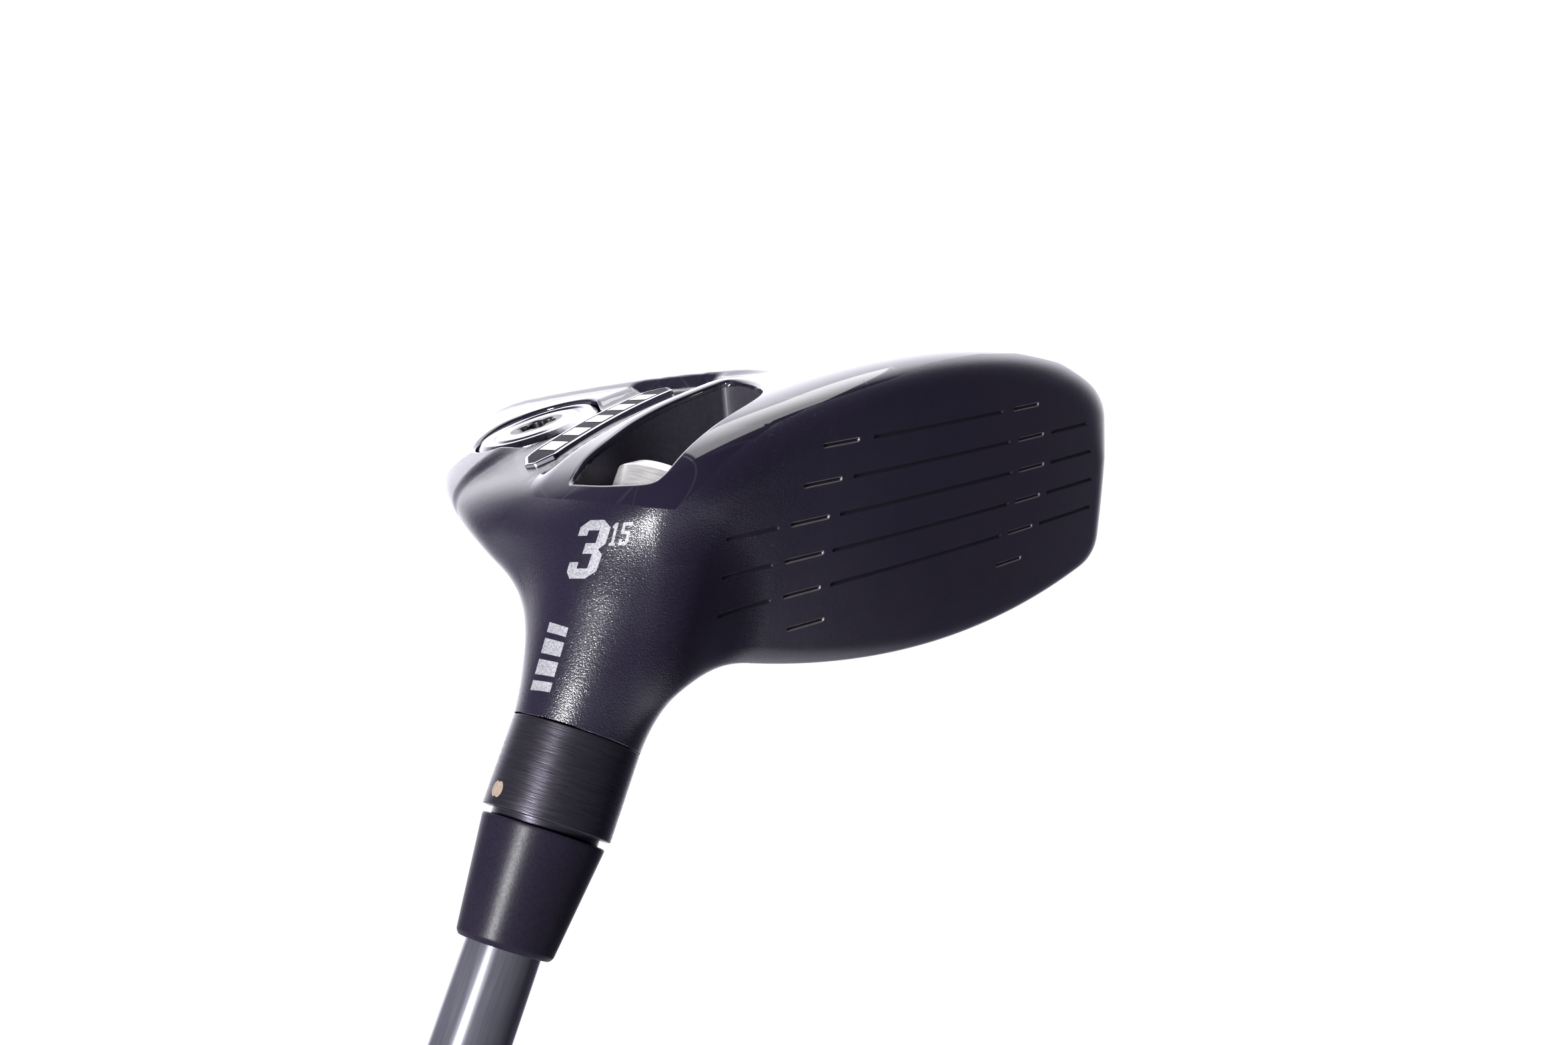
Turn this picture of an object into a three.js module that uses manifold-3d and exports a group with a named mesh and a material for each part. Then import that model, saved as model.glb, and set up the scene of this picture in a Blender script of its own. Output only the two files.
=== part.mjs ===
import * as THREE from 'three';
import { mergeVertices } from 'three/addons/utils/BufferGeometryUtils.js';
import { ParametricGeometry } from 'three/addons/geometries/ParametricGeometry.js';
import Module from 'manifold-3d';

// Fairway wood, right-handed, in millimetres.
// World frame: +Z runs along the shaft from the butt of the grip to the head, -Y is the target side.
// Head frame: x towards the toe, y to the back of the head, z out through the sole,
// with its origin on the shaft axis where the sleeve's collar meets the hosel.

const wasm = await Module();
wasm.setup();

// ---- club ----
const SEAM_Z = 1044;               // butt of the grip to the collar-to-hosel seam
const LIE = THREE.MathUtils.degToRad(58);
const LOFT = THREE.MathUtils.degToRad(15);
const ROUND_SEGMENTS = 28;

// ---- head envelope ----
const FACE = { x: 50.4, y: -11.6, z: 17.8, bulgeR: 420, rollR: 360 };
const SOLE = { top: 40.1, x: 53.8, y: -5, radiusX: 124, radiusY: 462 };
const CROWN = { low: -2.5, x: 64, y: -12.7, radiusX: 154.6, radiusY: 109, tail: -1.1, heelLift: 14.8 };
const PLAN = { x: 54.4, y: 22.7, radius: 49.3, waves: [[4.4, -1.45], [2.6, 0.43], [1.7, 1.62]] };
const BLEND = { planSole: 8, planCrown: 3.6, faceThin: 2.5, faceThick: 6, outerSole: 9 };
const CORE = new THREE.Vector3(56, 20, 20);
const WALL = 1.25;
const CROWN_WALL = 1.1;
const FACE_THICKNESS = 2.3;
const SEAM_GAP = 0.3;

// ---- hosel and screw, heights measured from the seam into the head ----
const HOSEL_R = 7.3;
const SLEEVE_BORE_R = 6.0;
const SLEEVE_BORE_END = 22.6;
const SEAT_H = 24.9;
const SCREW_HOLE_R = 3.0;
const COUNTERBORE_R = 6.4;
const SCREW = { headR: 5.5, headLow: 25.9, headEdge: 30.5, topR: 3.5, top: 31.7, shankR: 2.45, end: 15.9 };
const WASHER = { low: 25.05, high: 25.75, innerR: 2.75, outerR: 5.3 };
const RETAINER = { low: 23.2, high: 24.3, innerR: 2.52, outerR: 2.9 };

// ---- sleeve, ferrule and shaft ----
const COLLAR_LENGTH = 10.1;
const SLEEVE_R = 5.9;
const SLEEVE_END = 22.2;
const SHAFT_SEAT = 11.5;
const FERRULE = { top: 10.9, bottom: 23.9, topR: 7.0, bottomR: 5.23 };
const SHAFT = { tipR: 4.25, tipBoreR: 3.0, buttR: 7.6, buttBoreR: 6.4, start: 3.2, taperFrom: 150, taperTo: 954 };
const DOT = { radius: 1.0, depth: 0.45, drop: 8.4, azimuth: THREE.MathUtils.degToRad(172) };

// ---- grip ----
const GRIP = { length: 267, buttR: 13.2, mouthR: 9.2, capDepth: 3.0 };
const TAPE_GAP = 0.06;
const TAPE_THICKNESS = 0.3;

// ---- sole features ----
const POCKET_FLOOR_Z = 24.2;
const WEIGHT = { headR: 8.2, headT: 2.0, shankR: 5.0, shankL: 5.2, recessR: 9.0, recessD: 3.1, boreR: 5.25, boreD: 9.2 };
const WEIGHT_SEAL = { innerR: 5.25, outerR: 7.4, thickness: 0.7 };
const HEEL_WEIGHT = [21.5, 30];
const TOE_WEIGHT = [86.5, 30];
const BADGE = { x: 22, y: 17.5, length: 25, width: 4.6, rise: 0.5, depth: 0.7, tilt: 0.07 };

const smoothMax = (a, b, k) => {
  const h = Math.max(k - Math.abs(a - b), 0) / k;
  return Math.max(a, b) + h * h * k * 0.25;
};

function faceY(x, z) {
  const rise = z - FACE.z;
  const roll = (rise * rise) / (2 * FACE.rollR) / Math.cos(LOFT) ** 3;
  const bulge = (x - FACE.x) ** 2 / (2 * FACE.bulgeR);
  return FACE.y - Math.tan(LOFT) * rise + roll + bulge;
}

function crownZ(x, y) {
  const tail = CROWN.tail * (Math.max(y - CROWN.y, 0) / 55) ** 4;
  const heel = Math.max(35 - x, 0) / 35;
  const lift = CROWN.heelLift * heel * heel * THREE.MathUtils.clamp((y - 5) / 40, 0, 1.5);
  const dome = (x - CROWN.x) ** 2 / (2 * CROWN.radiusX) + (y - CROWN.y) ** 2 / (2 * CROWN.radiusY);
  return CROWN.low + dome + tail + lift;
}

function planRadius(angle) {
  let radius = PLAN.radius;
  PLAN.waves.forEach(([size, phase], index) => {
    radius += size * Math.cos((index + 1) * (angle - phase));
  });
  return radius;
}

// Signed distance-like field of the head without its hosel: negative inside.
function headField(x, y, z) {
  const face = (faceY(x, z) - y) * Math.cos(LOFT);
  const soleDrop = (x - SOLE.x) ** 2 / (2 * SOLE.radiusX) + (y - SOLE.y) ** 2 / (2 * SOLE.radiusY);
  const sole = (z - SOLE.top + soleDrop) * 0.95;
  const crown = (crownZ(x, y) - z) * 0.97;
  const dx = x - PLAN.x;
  const dy = y - PLAN.y;
  const plan = (Math.hypot(dx, dy) - planRadius(Math.atan2(dy, dx))) * 0.95;
  const around = smoothMax(smoothMax(plan, sole, BLEND.planSole), crown, BLEND.planCrown);
  const ramp = THREE.MathUtils.clamp((z - 18) / 14, 0, 1);
  const faceBlend = BLEND.faceThin + (BLEND.faceThick - BLEND.faceThin) * ramp;
  return smoothMax(smoothMax(around, face, faceBlend), sole, BLEND.outerSole);
}

// Distance from the core to the surface that lies `inset` inside the head, along a direction.
function reach(direction, inset) {
  let near = 0;
  let far = 90;
  for (let step = 0; step < 26; step += 1) {
    const middle = (near + far) / 2;
    const p = CORE.clone().addScaledVector(direction, middle);
    if (headField(p.x, p.y, p.z) < -inset) {
      near = middle;
    } else {
      far = middle;
    }
  }
  return (near + far) / 2;
}

function toManifold(geometry) {
  const bare = geometry.index ? geometry.toNonIndexed() : geometry.clone();
  bare.deleteAttribute('normal');
  bare.deleteAttribute('uv');
  const merged = mergeVertices(bare, 1e-5);
  const source = merged.index.array;
  const triangles = [];
  for (let i = 0; i < source.length; i += 3) {
    const [a, b, c] = [source[i], source[i + 1], source[i + 2]];
    if (a !== b && b !== c && a !== c) {
      triangles.push(a, b, c);
    }
  }
  return new wasm.Manifold(new wasm.Mesh({
    numProp: 3,
    vertProperties: new Float32Array(merged.attributes.position.array),
    triVerts: new Uint32Array(triangles),
  }));
}

// Turns a closed solid inside out when its triangles face inwards.
function outward(geometry) {
  const flat = geometry.index ? geometry.toNonIndexed() : geometry.clone();
  const p = flat.attributes.position;
  const [a, b, c] = [new THREE.Vector3(), new THREE.Vector3(), new THREE.Vector3()];
  let volume = 0;
  for (let i = 0; i < p.count; i += 3) {
    a.fromBufferAttribute(p, i);
    b.fromBufferAttribute(p, i + 1);
    c.fromBufferAttribute(p, i + 2);
    volume += a.dot(b.clone().cross(c));
  }
  if (volume < 0) {
    for (let i = 0; i < p.count; i += 3) {
      b.fromBufferAttribute(p, i + 1);
      c.fromBufferAttribute(p, i + 2);
      p.setXYZ(i + 1, c.x, c.y, c.z);
      p.setXYZ(i + 2, b.x, b.y, b.z);
    }
  }
  return flat;
}

function headSolid(inset) {
  const surface = new ParametricGeometry((u, v, target) => {
    const polar = v * Math.PI;
    const around = u * Math.PI * 2;
    const direction = new THREE.Vector3(
      Math.sin(polar) * Math.cos(around),
      Math.sin(polar) * Math.sin(around),
      Math.cos(polar),
    );
    if (v === 0 || v === 1) {
      direction.set(0, 0, v === 0 ? 1 : -1);
    }
    if (u === 1) {
      direction.set(Math.sin(polar), 0, Math.cos(polar));
    }
    target.copy(CORE).addScaledVector(direction, reach(direction, inset));
  }, 44, 22);
  return toManifold(outward(surface));
}

// Round solid about +Z from [radius, z] pairs that start and end on the axis or close on themselves.
function lathe(profile, segments = ROUND_SEGMENTS) {
  const points = profile.map(([radius, z]) => new THREE.Vector2(radius, z));
  const geometry = new THREE.LatheGeometry(points, segments);
  geometry.rotateX(Math.PI / 2);
  return outward(geometry);
}

const rod = (radius, low, high) => lathe([[0, low], [radius, low], [radius, high], [0, high]]);

const tube = (inner, outer, low, high) => lathe([
  [inner, low], [outer, low], [outer, high], [inner, high], [inner, low],
]);

function prism(points, low, high, spline = false) {
  const path = points.map(([x, y]) => new THREE.Vector2(x, y));
  const shape = new THREE.Shape();
  if (spline) {
    const closed = new THREE.CatmullRomCurve3(path.map((p) => new THREE.Vector3(p.x, p.y, 0)), true);
    shape.setFromPoints(closed.getPoints(44).slice(0, -1).map((p) => new THREE.Vector2(p.x, p.y)));
  } else {
    shape.setFromPoints(path);
  }
  const geometry = new THREE.ExtrudeGeometry(shape, { depth: high - low, bevelEnabled: false });
  geometry.translate(0, 0, low);
  return geometry;
}

// Pushes a closed outline outwards along its own normals.
function grow(points, distance) {
  const count = points.length;
  const area = points.reduce((sum, [x, y], i) => {
    const [nx, ny] = points[(i + 1) % count];
    return sum + x * ny - nx * y;
  }, 0);
  const side = Math.sign(area);
  return points.map(([x, y], i) => {
    const before = points[(i + count - 1) % count];
    const after = points[(i + 1) % count];
    const tangent = new THREE.Vector2(after[0] - before[0], after[1] - before[1]).normalize();
    return [x + tangent.y * distance * side, y - tangent.x * distance * side];
  });
}

// ---- placing ----
const HEAD_TO_WORLD = new THREE.Matrix4().makeBasis(
  new THREE.Vector3(Math.sin(LIE), 0, Math.cos(LIE)),
  new THREE.Vector3(0, 1, 0),
  new THREE.Vector3(-Math.cos(LIE), 0, Math.sin(LIE)),
).setPosition(0, 0, SEAM_Z);
const HOSEL_IN_HEAD = new THREE.Matrix4().makeRotationY(Math.PI / 2 - LIE);

const inHead = (solid) => solid.transform(HEAD_TO_WORLD.elements);
const fromHosel = (geometry) => toManifold(geometry.clone().applyMatrix4(HOSEL_IN_HEAD));
const shift = (solid, x, y, z) => solid.translate([x, y, z]);

// Keeps the main piece of a cut solid and drops slivers.
function mainPiece(solid) {
  return solid.decompose().sort((a, b) => b.volume() - a.volume())[0];
}

const group = new THREE.Group();
group.name = 'fairway_wood';

function geometryOf(solid) {
  const mesh = solid.getMesh();
  const geometry = new THREE.BufferGeometry();
  geometry.setAttribute('position', new THREE.BufferAttribute(new Float32Array(mesh.vertProperties), 3));
  geometry.setIndex(new THREE.BufferAttribute(new Uint32Array(mesh.triVerts), 1));
  const flat = geometry.toNonIndexed();
  flat.computeVertexNormals();
  return flat;
}

function add(name, shape, color, roughness, metalness) {
  const geometry = shape.isBufferGeometry ? shape : geometryOf(shape);
  const material = new THREE.MeshStandardMaterial({ color, roughness, metalness });
  const mesh = new THREE.Mesh(geometry, material);
  mesh.name = name;
  group.add(mesh);
}

// ---- head shells ----
const outer = headSolid(0);
const inner = headSolid(WALL);
const innerCrown = headSolid(CROWN_WALL);

const crownOutline = [
  [22, 1], [40, -1.5], [60, -2.5], [80, -1], [92, 3], [97, 13], [94, 29], [85, 45],
  [71, 55], [55, 58.5], [39, 55], [27, 44], [19, 30], [18, 14],
];
const CROWN_LIMIT_Z = 19.5;
const crownPrism = toManifold(prism(crownOutline, -30, CROWN_LIMIT_Z, true));
const crownPrismWide = toManifold(prism(grow(crownOutline, SEAM_GAP), -30, CROWN_LIMIT_Z + SEAM_GAP, true));

const faceOutline = [
  [17, 6.8], [30, 4.2], [45, 2.2], [62, 1.2], [80, 2.0], [91, 4.4], [94.5, 9], [92.8, 16],
  [89.5, 22.5], [84.5, 27.5], [77, 31.6], [66, 33.6], [54, 34], [42, 33.2], [31, 31.6], [22, 29], [17.5, 24], [16, 15],
];
const TURN_XZ = new THREE.Matrix4().makeRotationX(Math.PI / 2);
const facePrism = toManifold(prism(faceOutline, -4, 30, true).applyMatrix4(TURN_XZ));
const facePrismWide = toManifold(prism(grow(faceOutline, SEAM_GAP), -4, 30, true).applyMatrix4(TURN_XZ));
const faceSlab = outer.subtract(shift(outer, 0, FACE_THICKNESS, 0));
const faceSlabDeep = shift(outer, 0, -1, 0).add(outer).subtract(shift(outer, 0, FACE_THICKNESS + 0.9, 0));
const facePlate = facePrism.intersect(faceSlab);

// ---- hosel ----
const neck = fromHosel(lathe([
  [0, 0.15], [HOSEL_R, 0.15], [HOSEL_R + 0.1, 4], [7.9, 8], [8.8, 12], [10.4, 16], [0, 16],
]));
const hoselCore = fromHosel(rod(8.6, 10, SEAT_H)).intersect(outer);
const hoselCut = fromHosel(lathe([
  [0, -2], [SLEEVE_BORE_R, -2], [SLEEVE_BORE_R, SLEEVE_BORE_END], [SCREW_HOLE_R, SLEEVE_BORE_END],
  [SCREW_HOLE_R, SEAT_H], [COUNTERBORE_R, SEAT_H], [COUNTERBORE_R, 40], [0, 40],
]));

// ---- screw pocket in the sole ----
const pocketOutline = [
  [7, 4.8], [7.6, -0.6], [9.4, -5.6], [12, -7], [18.8, -7.2], [25.4, -6.4], [28.8, -4.6], [31.2, -1.6],
  [34, 4.6], [33.6, 6.8], [29.2, 7.6], [23.5, 8], [13.7, 7.2], [9, 6.4],
];
const pocketCut = toManifold(prism(pocketOutline, POCKET_FLOOR_Z, 60, true));
const pocketWall = toManifold(prism(grow(pocketOutline, 1.5), POCKET_FLOOR_Z - 1.6, 60, true)).intersect(outer);

// ---- weight ports ----
function soleZ(x, y) {
  let low = 20;
  let high = 45;
  for (let step = 0; step < 30; step += 1) {
    const middle = (low + high) / 2;
    if (headField(x, y, middle) < 0) {
      low = middle;
    } else {
      high = middle;
    }
  }
  return (low + high) / 2;
}

function portFrame([x, y]) {
  const z = soleZ(x, y);
  const axis = new THREE.Vector3((x - SOLE.x) / SOLE.radiusX, (y - SOLE.y) / SOLE.radiusY, 1).normalize();
  const turn = new THREE.Quaternion().setFromUnitVectors(new THREE.Vector3(0, 0, 1), axis);
  return new THREE.Matrix4().compose(new THREE.Vector3(x, y, z), turn, new THREE.Vector3(1, 1, 1));
}

function weightPort(place) {
  const frame = portFrame(place);
  const put = (geometry) => toManifold(geometry.applyMatrix4(frame));
  const boss = put(rod(10.4, -11, 8)).intersect(outer);
  const cut = put(lathe([
    [0, -WEIGHT.boreD], [WEIGHT.boreR, -WEIGHT.boreD], [WEIGHT.boreR, -WEIGHT.recessD],
    [WEIGHT.recessR, -WEIGHT.recessD], [WEIGHT.recessR, 8], [0, 8],
  ]));
  const headLow = -WEIGHT.recessD + 0.1 + WEIGHT_SEAL.thickness + 0.1;
  const headHigh = headLow + WEIGHT.headT;
  const socket = toManifold(new THREE.CylinderGeometry(2.6, 2.6, 3, 6).rotateX(Math.PI / 2)
    .translate(0, 0, headHigh).applyMatrix4(frame));
  const screw = put(lathe([
    [0, headLow - WEIGHT.shankL], [WEIGHT.shankR - 0.5, headLow - WEIGHT.shankL],
    [WEIGHT.shankR, headLow - WEIGHT.shankL + 0.5], [WEIGHT.shankR, headLow],
    [WEIGHT.headR, headLow], [WEIGHT.headR, headHigh - 0.5], [WEIGHT.headR - 0.5, headHigh], [0, headHigh],
  ])).subtract(socket);
  const sealLow = -WEIGHT.recessD + 0.1;
  const seal = put(tube(WEIGHT_SEAL.innerR, WEIGHT_SEAL.outerR, sealLow, sealLow + WEIGHT_SEAL.thickness));
  return { boss, cut, screw, seal };
}
const heelPort = weightPort(HEEL_WEIGHT);
const toePort = weightPort(TOE_WEIGHT);

// ---- sole badge ----
const half = BADGE.length / 2;
const wide = BADGE.width / 2;
const badgeOutline = [
  [-half, -wide * 0.4], [-half + 1.6, -wide], [half - 1.2, -wide], [half, -wide * 0.3],
  [half, wide * 0.6], [half - 1, wide], [-half + 1.6, wide], [-half, wide * 0.5],
].map(([x, y]) => [BADGE.x + x, BADGE.y + y + x * BADGE.tilt]);
const badge = toManifold(prism(badgeOutline, 15, 60))
  .intersect(shift(outer, 0, 0, BADGE.rise).subtract(shift(outer, 0, 0, -BADGE.depth)));
const badgeCut = toManifold(prism(grow(badgeOutline, 0.25), 15, 60))
  .subtract(shift(outer, 0, 0, -BADGE.depth - 0.25));
const badgePad = toManifold(prism(grow(badgeOutline, 1.6), 15, 60))
  .intersect(outer).subtract(shift(outer, 0, 0, -2.2));

const body = mainPiece(outer.subtract(inner)
  .add(neck)
  .add(hoselCore)
  .add(pocketWall)
  .add(heelPort.boss)
  .add(toePort.boss)
  .add(badgePad)
  .subtract(facePrismWide.intersect(faceSlabDeep))
  .subtract(crownPrismWide)
  .subtract(pocketCut)
  .subtract(heelPort.cut)
  .subtract(toePort.cut)
  .subtract(badgeCut)
  .subtract(hoselCut));
const crownShell = mainPiece(outer.subtract(innerCrown).intersect(crownPrism));

add('head_body', inHead(body), 0x15151a, 0.35, 0.6);
add('face_plate', inHead(facePlate), 0x1c1b22, 0.5, 0.6);
add('crown_shell', inHead(crownShell), 0x121216, 0.3, 0.1);
add('sole_badge', inHead(badge), 0xb9bac2, 0.3, 1.0);
add('heel_weight', inHead(heelPort.screw), 0x9a9aa2, 0.3, 1.0);
add('heel_weight_seal', inHead(heelPort.seal), 0x1a1a1a, 0.8, 0.0);
add('toe_weight', inHead(toePort.screw), 0x9a9aa2, 0.3, 1.0);
add('toe_weight_seal', inHead(toePort.seal), 0x1a1a1a, 0.8, 0.0);

// ---- hosel screw ----
const up = (h) => SEAM_Z + h;
const screwSocket = new THREE.CylinderGeometry(2.0, 2.0, 5, 6);
screwSocket.rotateX(Math.PI / 2);
screwSocket.translate(0, 0, up(SCREW.top));
const screw = toManifold(lathe([
  [0, up(SCREW.end)], [SCREW.shankR - 0.5, up(SCREW.end)], [SCREW.shankR, up(SCREW.end + 0.5)],
  [SCREW.shankR, up(SCREW.headLow)], [SCREW.headR, up(SCREW.headLow)], [SCREW.headR, up(SCREW.headEdge)],
  [SCREW.topR, up(SCREW.top)], [0, up(SCREW.top)],
])).subtract(toManifold(screwSocket));
add('hosel_screw', screw, 0xb8b6b4, 0.3, 1.0);
add('screw_washer', tube(WASHER.innerR, WASHER.outerR, up(WASHER.low), up(WASHER.high)), 0x9c9a98, 0.35, 1.0);
add('screw_retainer', tube(RETAINER.innerR, RETAINER.outerR, up(RETAINER.low), up(RETAINER.high)), 0x222222, 0.8, 0.0);

// ---- adapter sleeve ----
const collarLow = SEAM_Z - COLLAR_LENGTH;
const sleeve = toManifold(lathe([
  [4.35, collarLow], [HOSEL_R - 0.25, collarLow], [HOSEL_R, collarLow + 0.25], [HOSEL_R, SEAM_Z],
  [SLEEVE_R, SEAM_Z], [SLEEVE_R, up(SLEEVE_END)], [2.55, up(SLEEVE_END)], [2.55, up(12.8)],
  [0, up(12.8)], [0, up(SHAFT_SEAT + 0.4)], [4.35, up(SHAFT_SEAT + 0.4)], [4.35, collarLow],
]));
const dotPlace = new THREE.Matrix4()
  .makeTranslation(HOSEL_R * Math.cos(DOT.azimuth), HOSEL_R * Math.sin(DOT.azimuth), SEAM_Z - DOT.drop)
  .multiply(new THREE.Matrix4().makeRotationZ(DOT.azimuth))
  .multiply(new THREE.Matrix4().makeRotationY(Math.PI / 2));
const dotPocket = toManifold(rod(DOT.radius + 0.08, -DOT.depth - 0.1, 2).applyMatrix4(dotPlace));
add('adapter_sleeve', sleeve.subtract(dotPocket), 0x3c3b40, 0.35, 0.9);
add('index_mark', rod(DOT.radius, -DOT.depth, -0.02).applyMatrix4(dotPlace), 0xa89684, 0.6, 0.0);

// ---- ferrule ----
const ferruleBottom = SEAM_Z - FERRULE.bottom;
const ferruleTop = SEAM_Z - FERRULE.top;
add('ferrule', lathe([
  [4.35, ferruleBottom], [FERRULE.bottomR, ferruleBottom], [FERRULE.topR, ferruleTop],
  [4.35, ferruleTop], [4.35, ferruleBottom],
]), 0x222126, 0.4, 0.0);

// ---- shaft ----
const shaftTop = up(SHAFT_SEAT);
const shaftR = (z) => {
  const t = THREE.MathUtils.clamp((z - SHAFT.taperFrom) / (SHAFT.taperTo - SHAFT.taperFrom), 0, 1);
  return SHAFT.buttR + (SHAFT.tipR - SHAFT.buttR) * t;
};
add('shaft', lathe([
  [SHAFT.buttBoreR, SHAFT.start], [SHAFT.buttR, SHAFT.start], [SHAFT.buttR, SHAFT.taperFrom],
  [SHAFT.tipR, SHAFT.taperTo], [SHAFT.tipR, shaftTop], [SHAFT.tipBoreR, shaftTop],
  [SHAFT.tipBoreR, SHAFT.taperTo], [SHAFT.buttBoreR, SHAFT.taperFrom], [SHAFT.buttBoreR, SHAFT.start],
]), 0x55585f, 0.3, 0.2);
add('tip_plug', rod(SHAFT.tipBoreR - 0.08, shaftTop - 4.2, shaftTop - 0.4), 0xc9c0a8, 0.8, 0.0);

// ---- grip ----
const tapeInner = (z) => shaftR(z) + TAPE_GAP;
const tapeOuter = (z) => tapeInner(z) + TAPE_THICKNESS;
const tapeEnd = GRIP.length - 4;
add('grip_tape', lathe([
  [tapeInner(8), 8], [tapeOuter(8), 8], [tapeOuter(SHAFT.taperFrom), SHAFT.taperFrom],
  [tapeOuter(tapeEnd), tapeEnd], [tapeInner(tapeEnd), tapeEnd],
  [tapeInner(SHAFT.taperFrom), SHAFT.taperFrom], [tapeInner(8), 8],
]), 0xd8d2c0, 0.9, 0.0);
const gripBore = (z) => tapeOuter(z) + TAPE_GAP;
const gripEnd = GRIP.length;
add('grip', lathe([
  [0, 0], [GRIP.buttR - 1.2, 0], [GRIP.buttR - 0.3, 0.5], [GRIP.buttR, 1.6], [GRIP.buttR, 4],
  [GRIP.buttR - 0.5, 8], [12.3, 60], [11.4, 120], [10.4, 190], [GRIP.mouthR, gripEnd - 1],
  [GRIP.mouthR - 0.4, gripEnd], [gripBore(gripEnd), gripEnd], [gripBore(SHAFT.taperFrom), SHAFT.taperFrom],
  [gripBore(8), GRIP.capDepth], [0, GRIP.capDepth],
]), 0x1b1b1d, 0.85, 0.0);

export default group;
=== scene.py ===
"""Visual model of an adjustable fairway wood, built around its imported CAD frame.

The head is one smooth implicit form. It is meshed once, split along the seams and edges of its
real pieces, and dressed with procedural finishes. Round parts are turned from profiles.
Sizes are in millimetres in the head's own frame and are turned into metres at the last step.
"""

from __future__ import annotations

import logging
import math
from collections.abc import Callable, Sequence
from dataclasses import dataclass, field
from enum import Enum

import bpy
import numpy as np
from mathutils import Matrix, Vector
from mathutils.geometry import delaunay_2d_cdt

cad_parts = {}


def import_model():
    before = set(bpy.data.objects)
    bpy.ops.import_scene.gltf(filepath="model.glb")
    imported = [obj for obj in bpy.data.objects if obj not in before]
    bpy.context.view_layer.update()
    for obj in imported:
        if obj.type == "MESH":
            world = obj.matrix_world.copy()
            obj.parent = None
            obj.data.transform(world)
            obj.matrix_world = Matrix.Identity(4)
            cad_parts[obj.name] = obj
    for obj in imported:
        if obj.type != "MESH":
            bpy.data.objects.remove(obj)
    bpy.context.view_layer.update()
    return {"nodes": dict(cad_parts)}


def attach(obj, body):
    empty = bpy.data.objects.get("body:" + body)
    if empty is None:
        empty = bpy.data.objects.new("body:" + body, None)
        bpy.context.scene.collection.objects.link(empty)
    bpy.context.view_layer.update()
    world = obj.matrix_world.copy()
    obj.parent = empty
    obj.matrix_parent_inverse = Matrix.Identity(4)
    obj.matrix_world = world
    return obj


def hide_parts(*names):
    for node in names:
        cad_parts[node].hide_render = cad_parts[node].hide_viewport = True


LOG = logging.getLogger("fairway_wood")
MM = 0.001
LIE = math.radians(58)
Array = np.ndarray
Pair = tuple[float, float]
Triple = tuple[float, float, float]
Knots = tuple[Pair, ...]
Colour = Triple
Field = Callable[[Array], Array]


# ------------------------------------------------------------------ small maths


def smooth_max(a: Array, b: Array, k: Array | float) -> Array:
    """Larger of two fields, rounded over a width k."""
    h = np.maximum(k - np.abs(a - b), 0) / k
    return np.maximum(a, b) + h * h * k * 0.25


def smooth_min(a: Array, b: Array, k: Array | float) -> Array:
    """Smaller of two fields, rounded over a width k."""
    return -smooth_max(-a, -b, k)


def smooth_step(t: Array) -> Array:
    """Soft step from 0 at t = -1 to 1 at t = 1."""
    u = np.clip(0.5 + 0.5 * t, 0, 1)
    return u * u * (3 - 2 * u)


def unit(v: Array) -> Array:
    """Rows of v scaled to length one."""
    return v / np.maximum(np.linalg.norm(v, axis=-1, keepdims=True), 1e-12)


def gradient(fn: Field, q: Array, step: float = 0.02) -> Array:
    """Central-difference gradient of a scalar field.

    Args:
        fn: the field.
        q: points, one per row.
        step: half the sampling distance in millimetres.

    Returns:
        One gradient per point.
    """
    out = np.zeros_like(q)
    for axis in range(3):
        d = np.zeros(3)
        d[axis] = step
        out[:, axis] = (fn(q + d) - fn(q - d)) / (2 * step)
    return out


def closed_curve(points: Sequence[Pair], count: int) -> Array:
    """Even samples of the closed Catmull-Rom curve through a few plan points.

    Args:
        points: the curve's knots.
        count: how many samples to return.

    Returns:
        An array of (count, 2) positions, evenly spaced along the curve.
    """
    p = np.array(points, float)
    before, after, far = np.roll(p, 1, 0), np.roll(p, -1, 0), np.roll(p, -2, 0)
    fine = []
    for t in np.linspace(0, 1, 24, endpoint=False):
        fine.append(
            0.5
            * (
                2 * p
                + (after - before) * t
                + (2 * before - 5 * p + 4 * after - far) * t**2
                + (3 * p - before - 3 * after + far) * t**3
            )
        )
    dense = np.stack(fine, 1).reshape(-1, 2)
    loop = np.vstack([dense, dense[:1]])
    length = np.concatenate([[0], np.cumsum(np.linalg.norm(np.diff(loop, axis=0), axis=1))])
    want = np.linspace(0, length[-1], count, endpoint=False)
    return np.stack([np.interp(want, length, loop[:, i]) for i in (0, 1)], 1)


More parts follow.
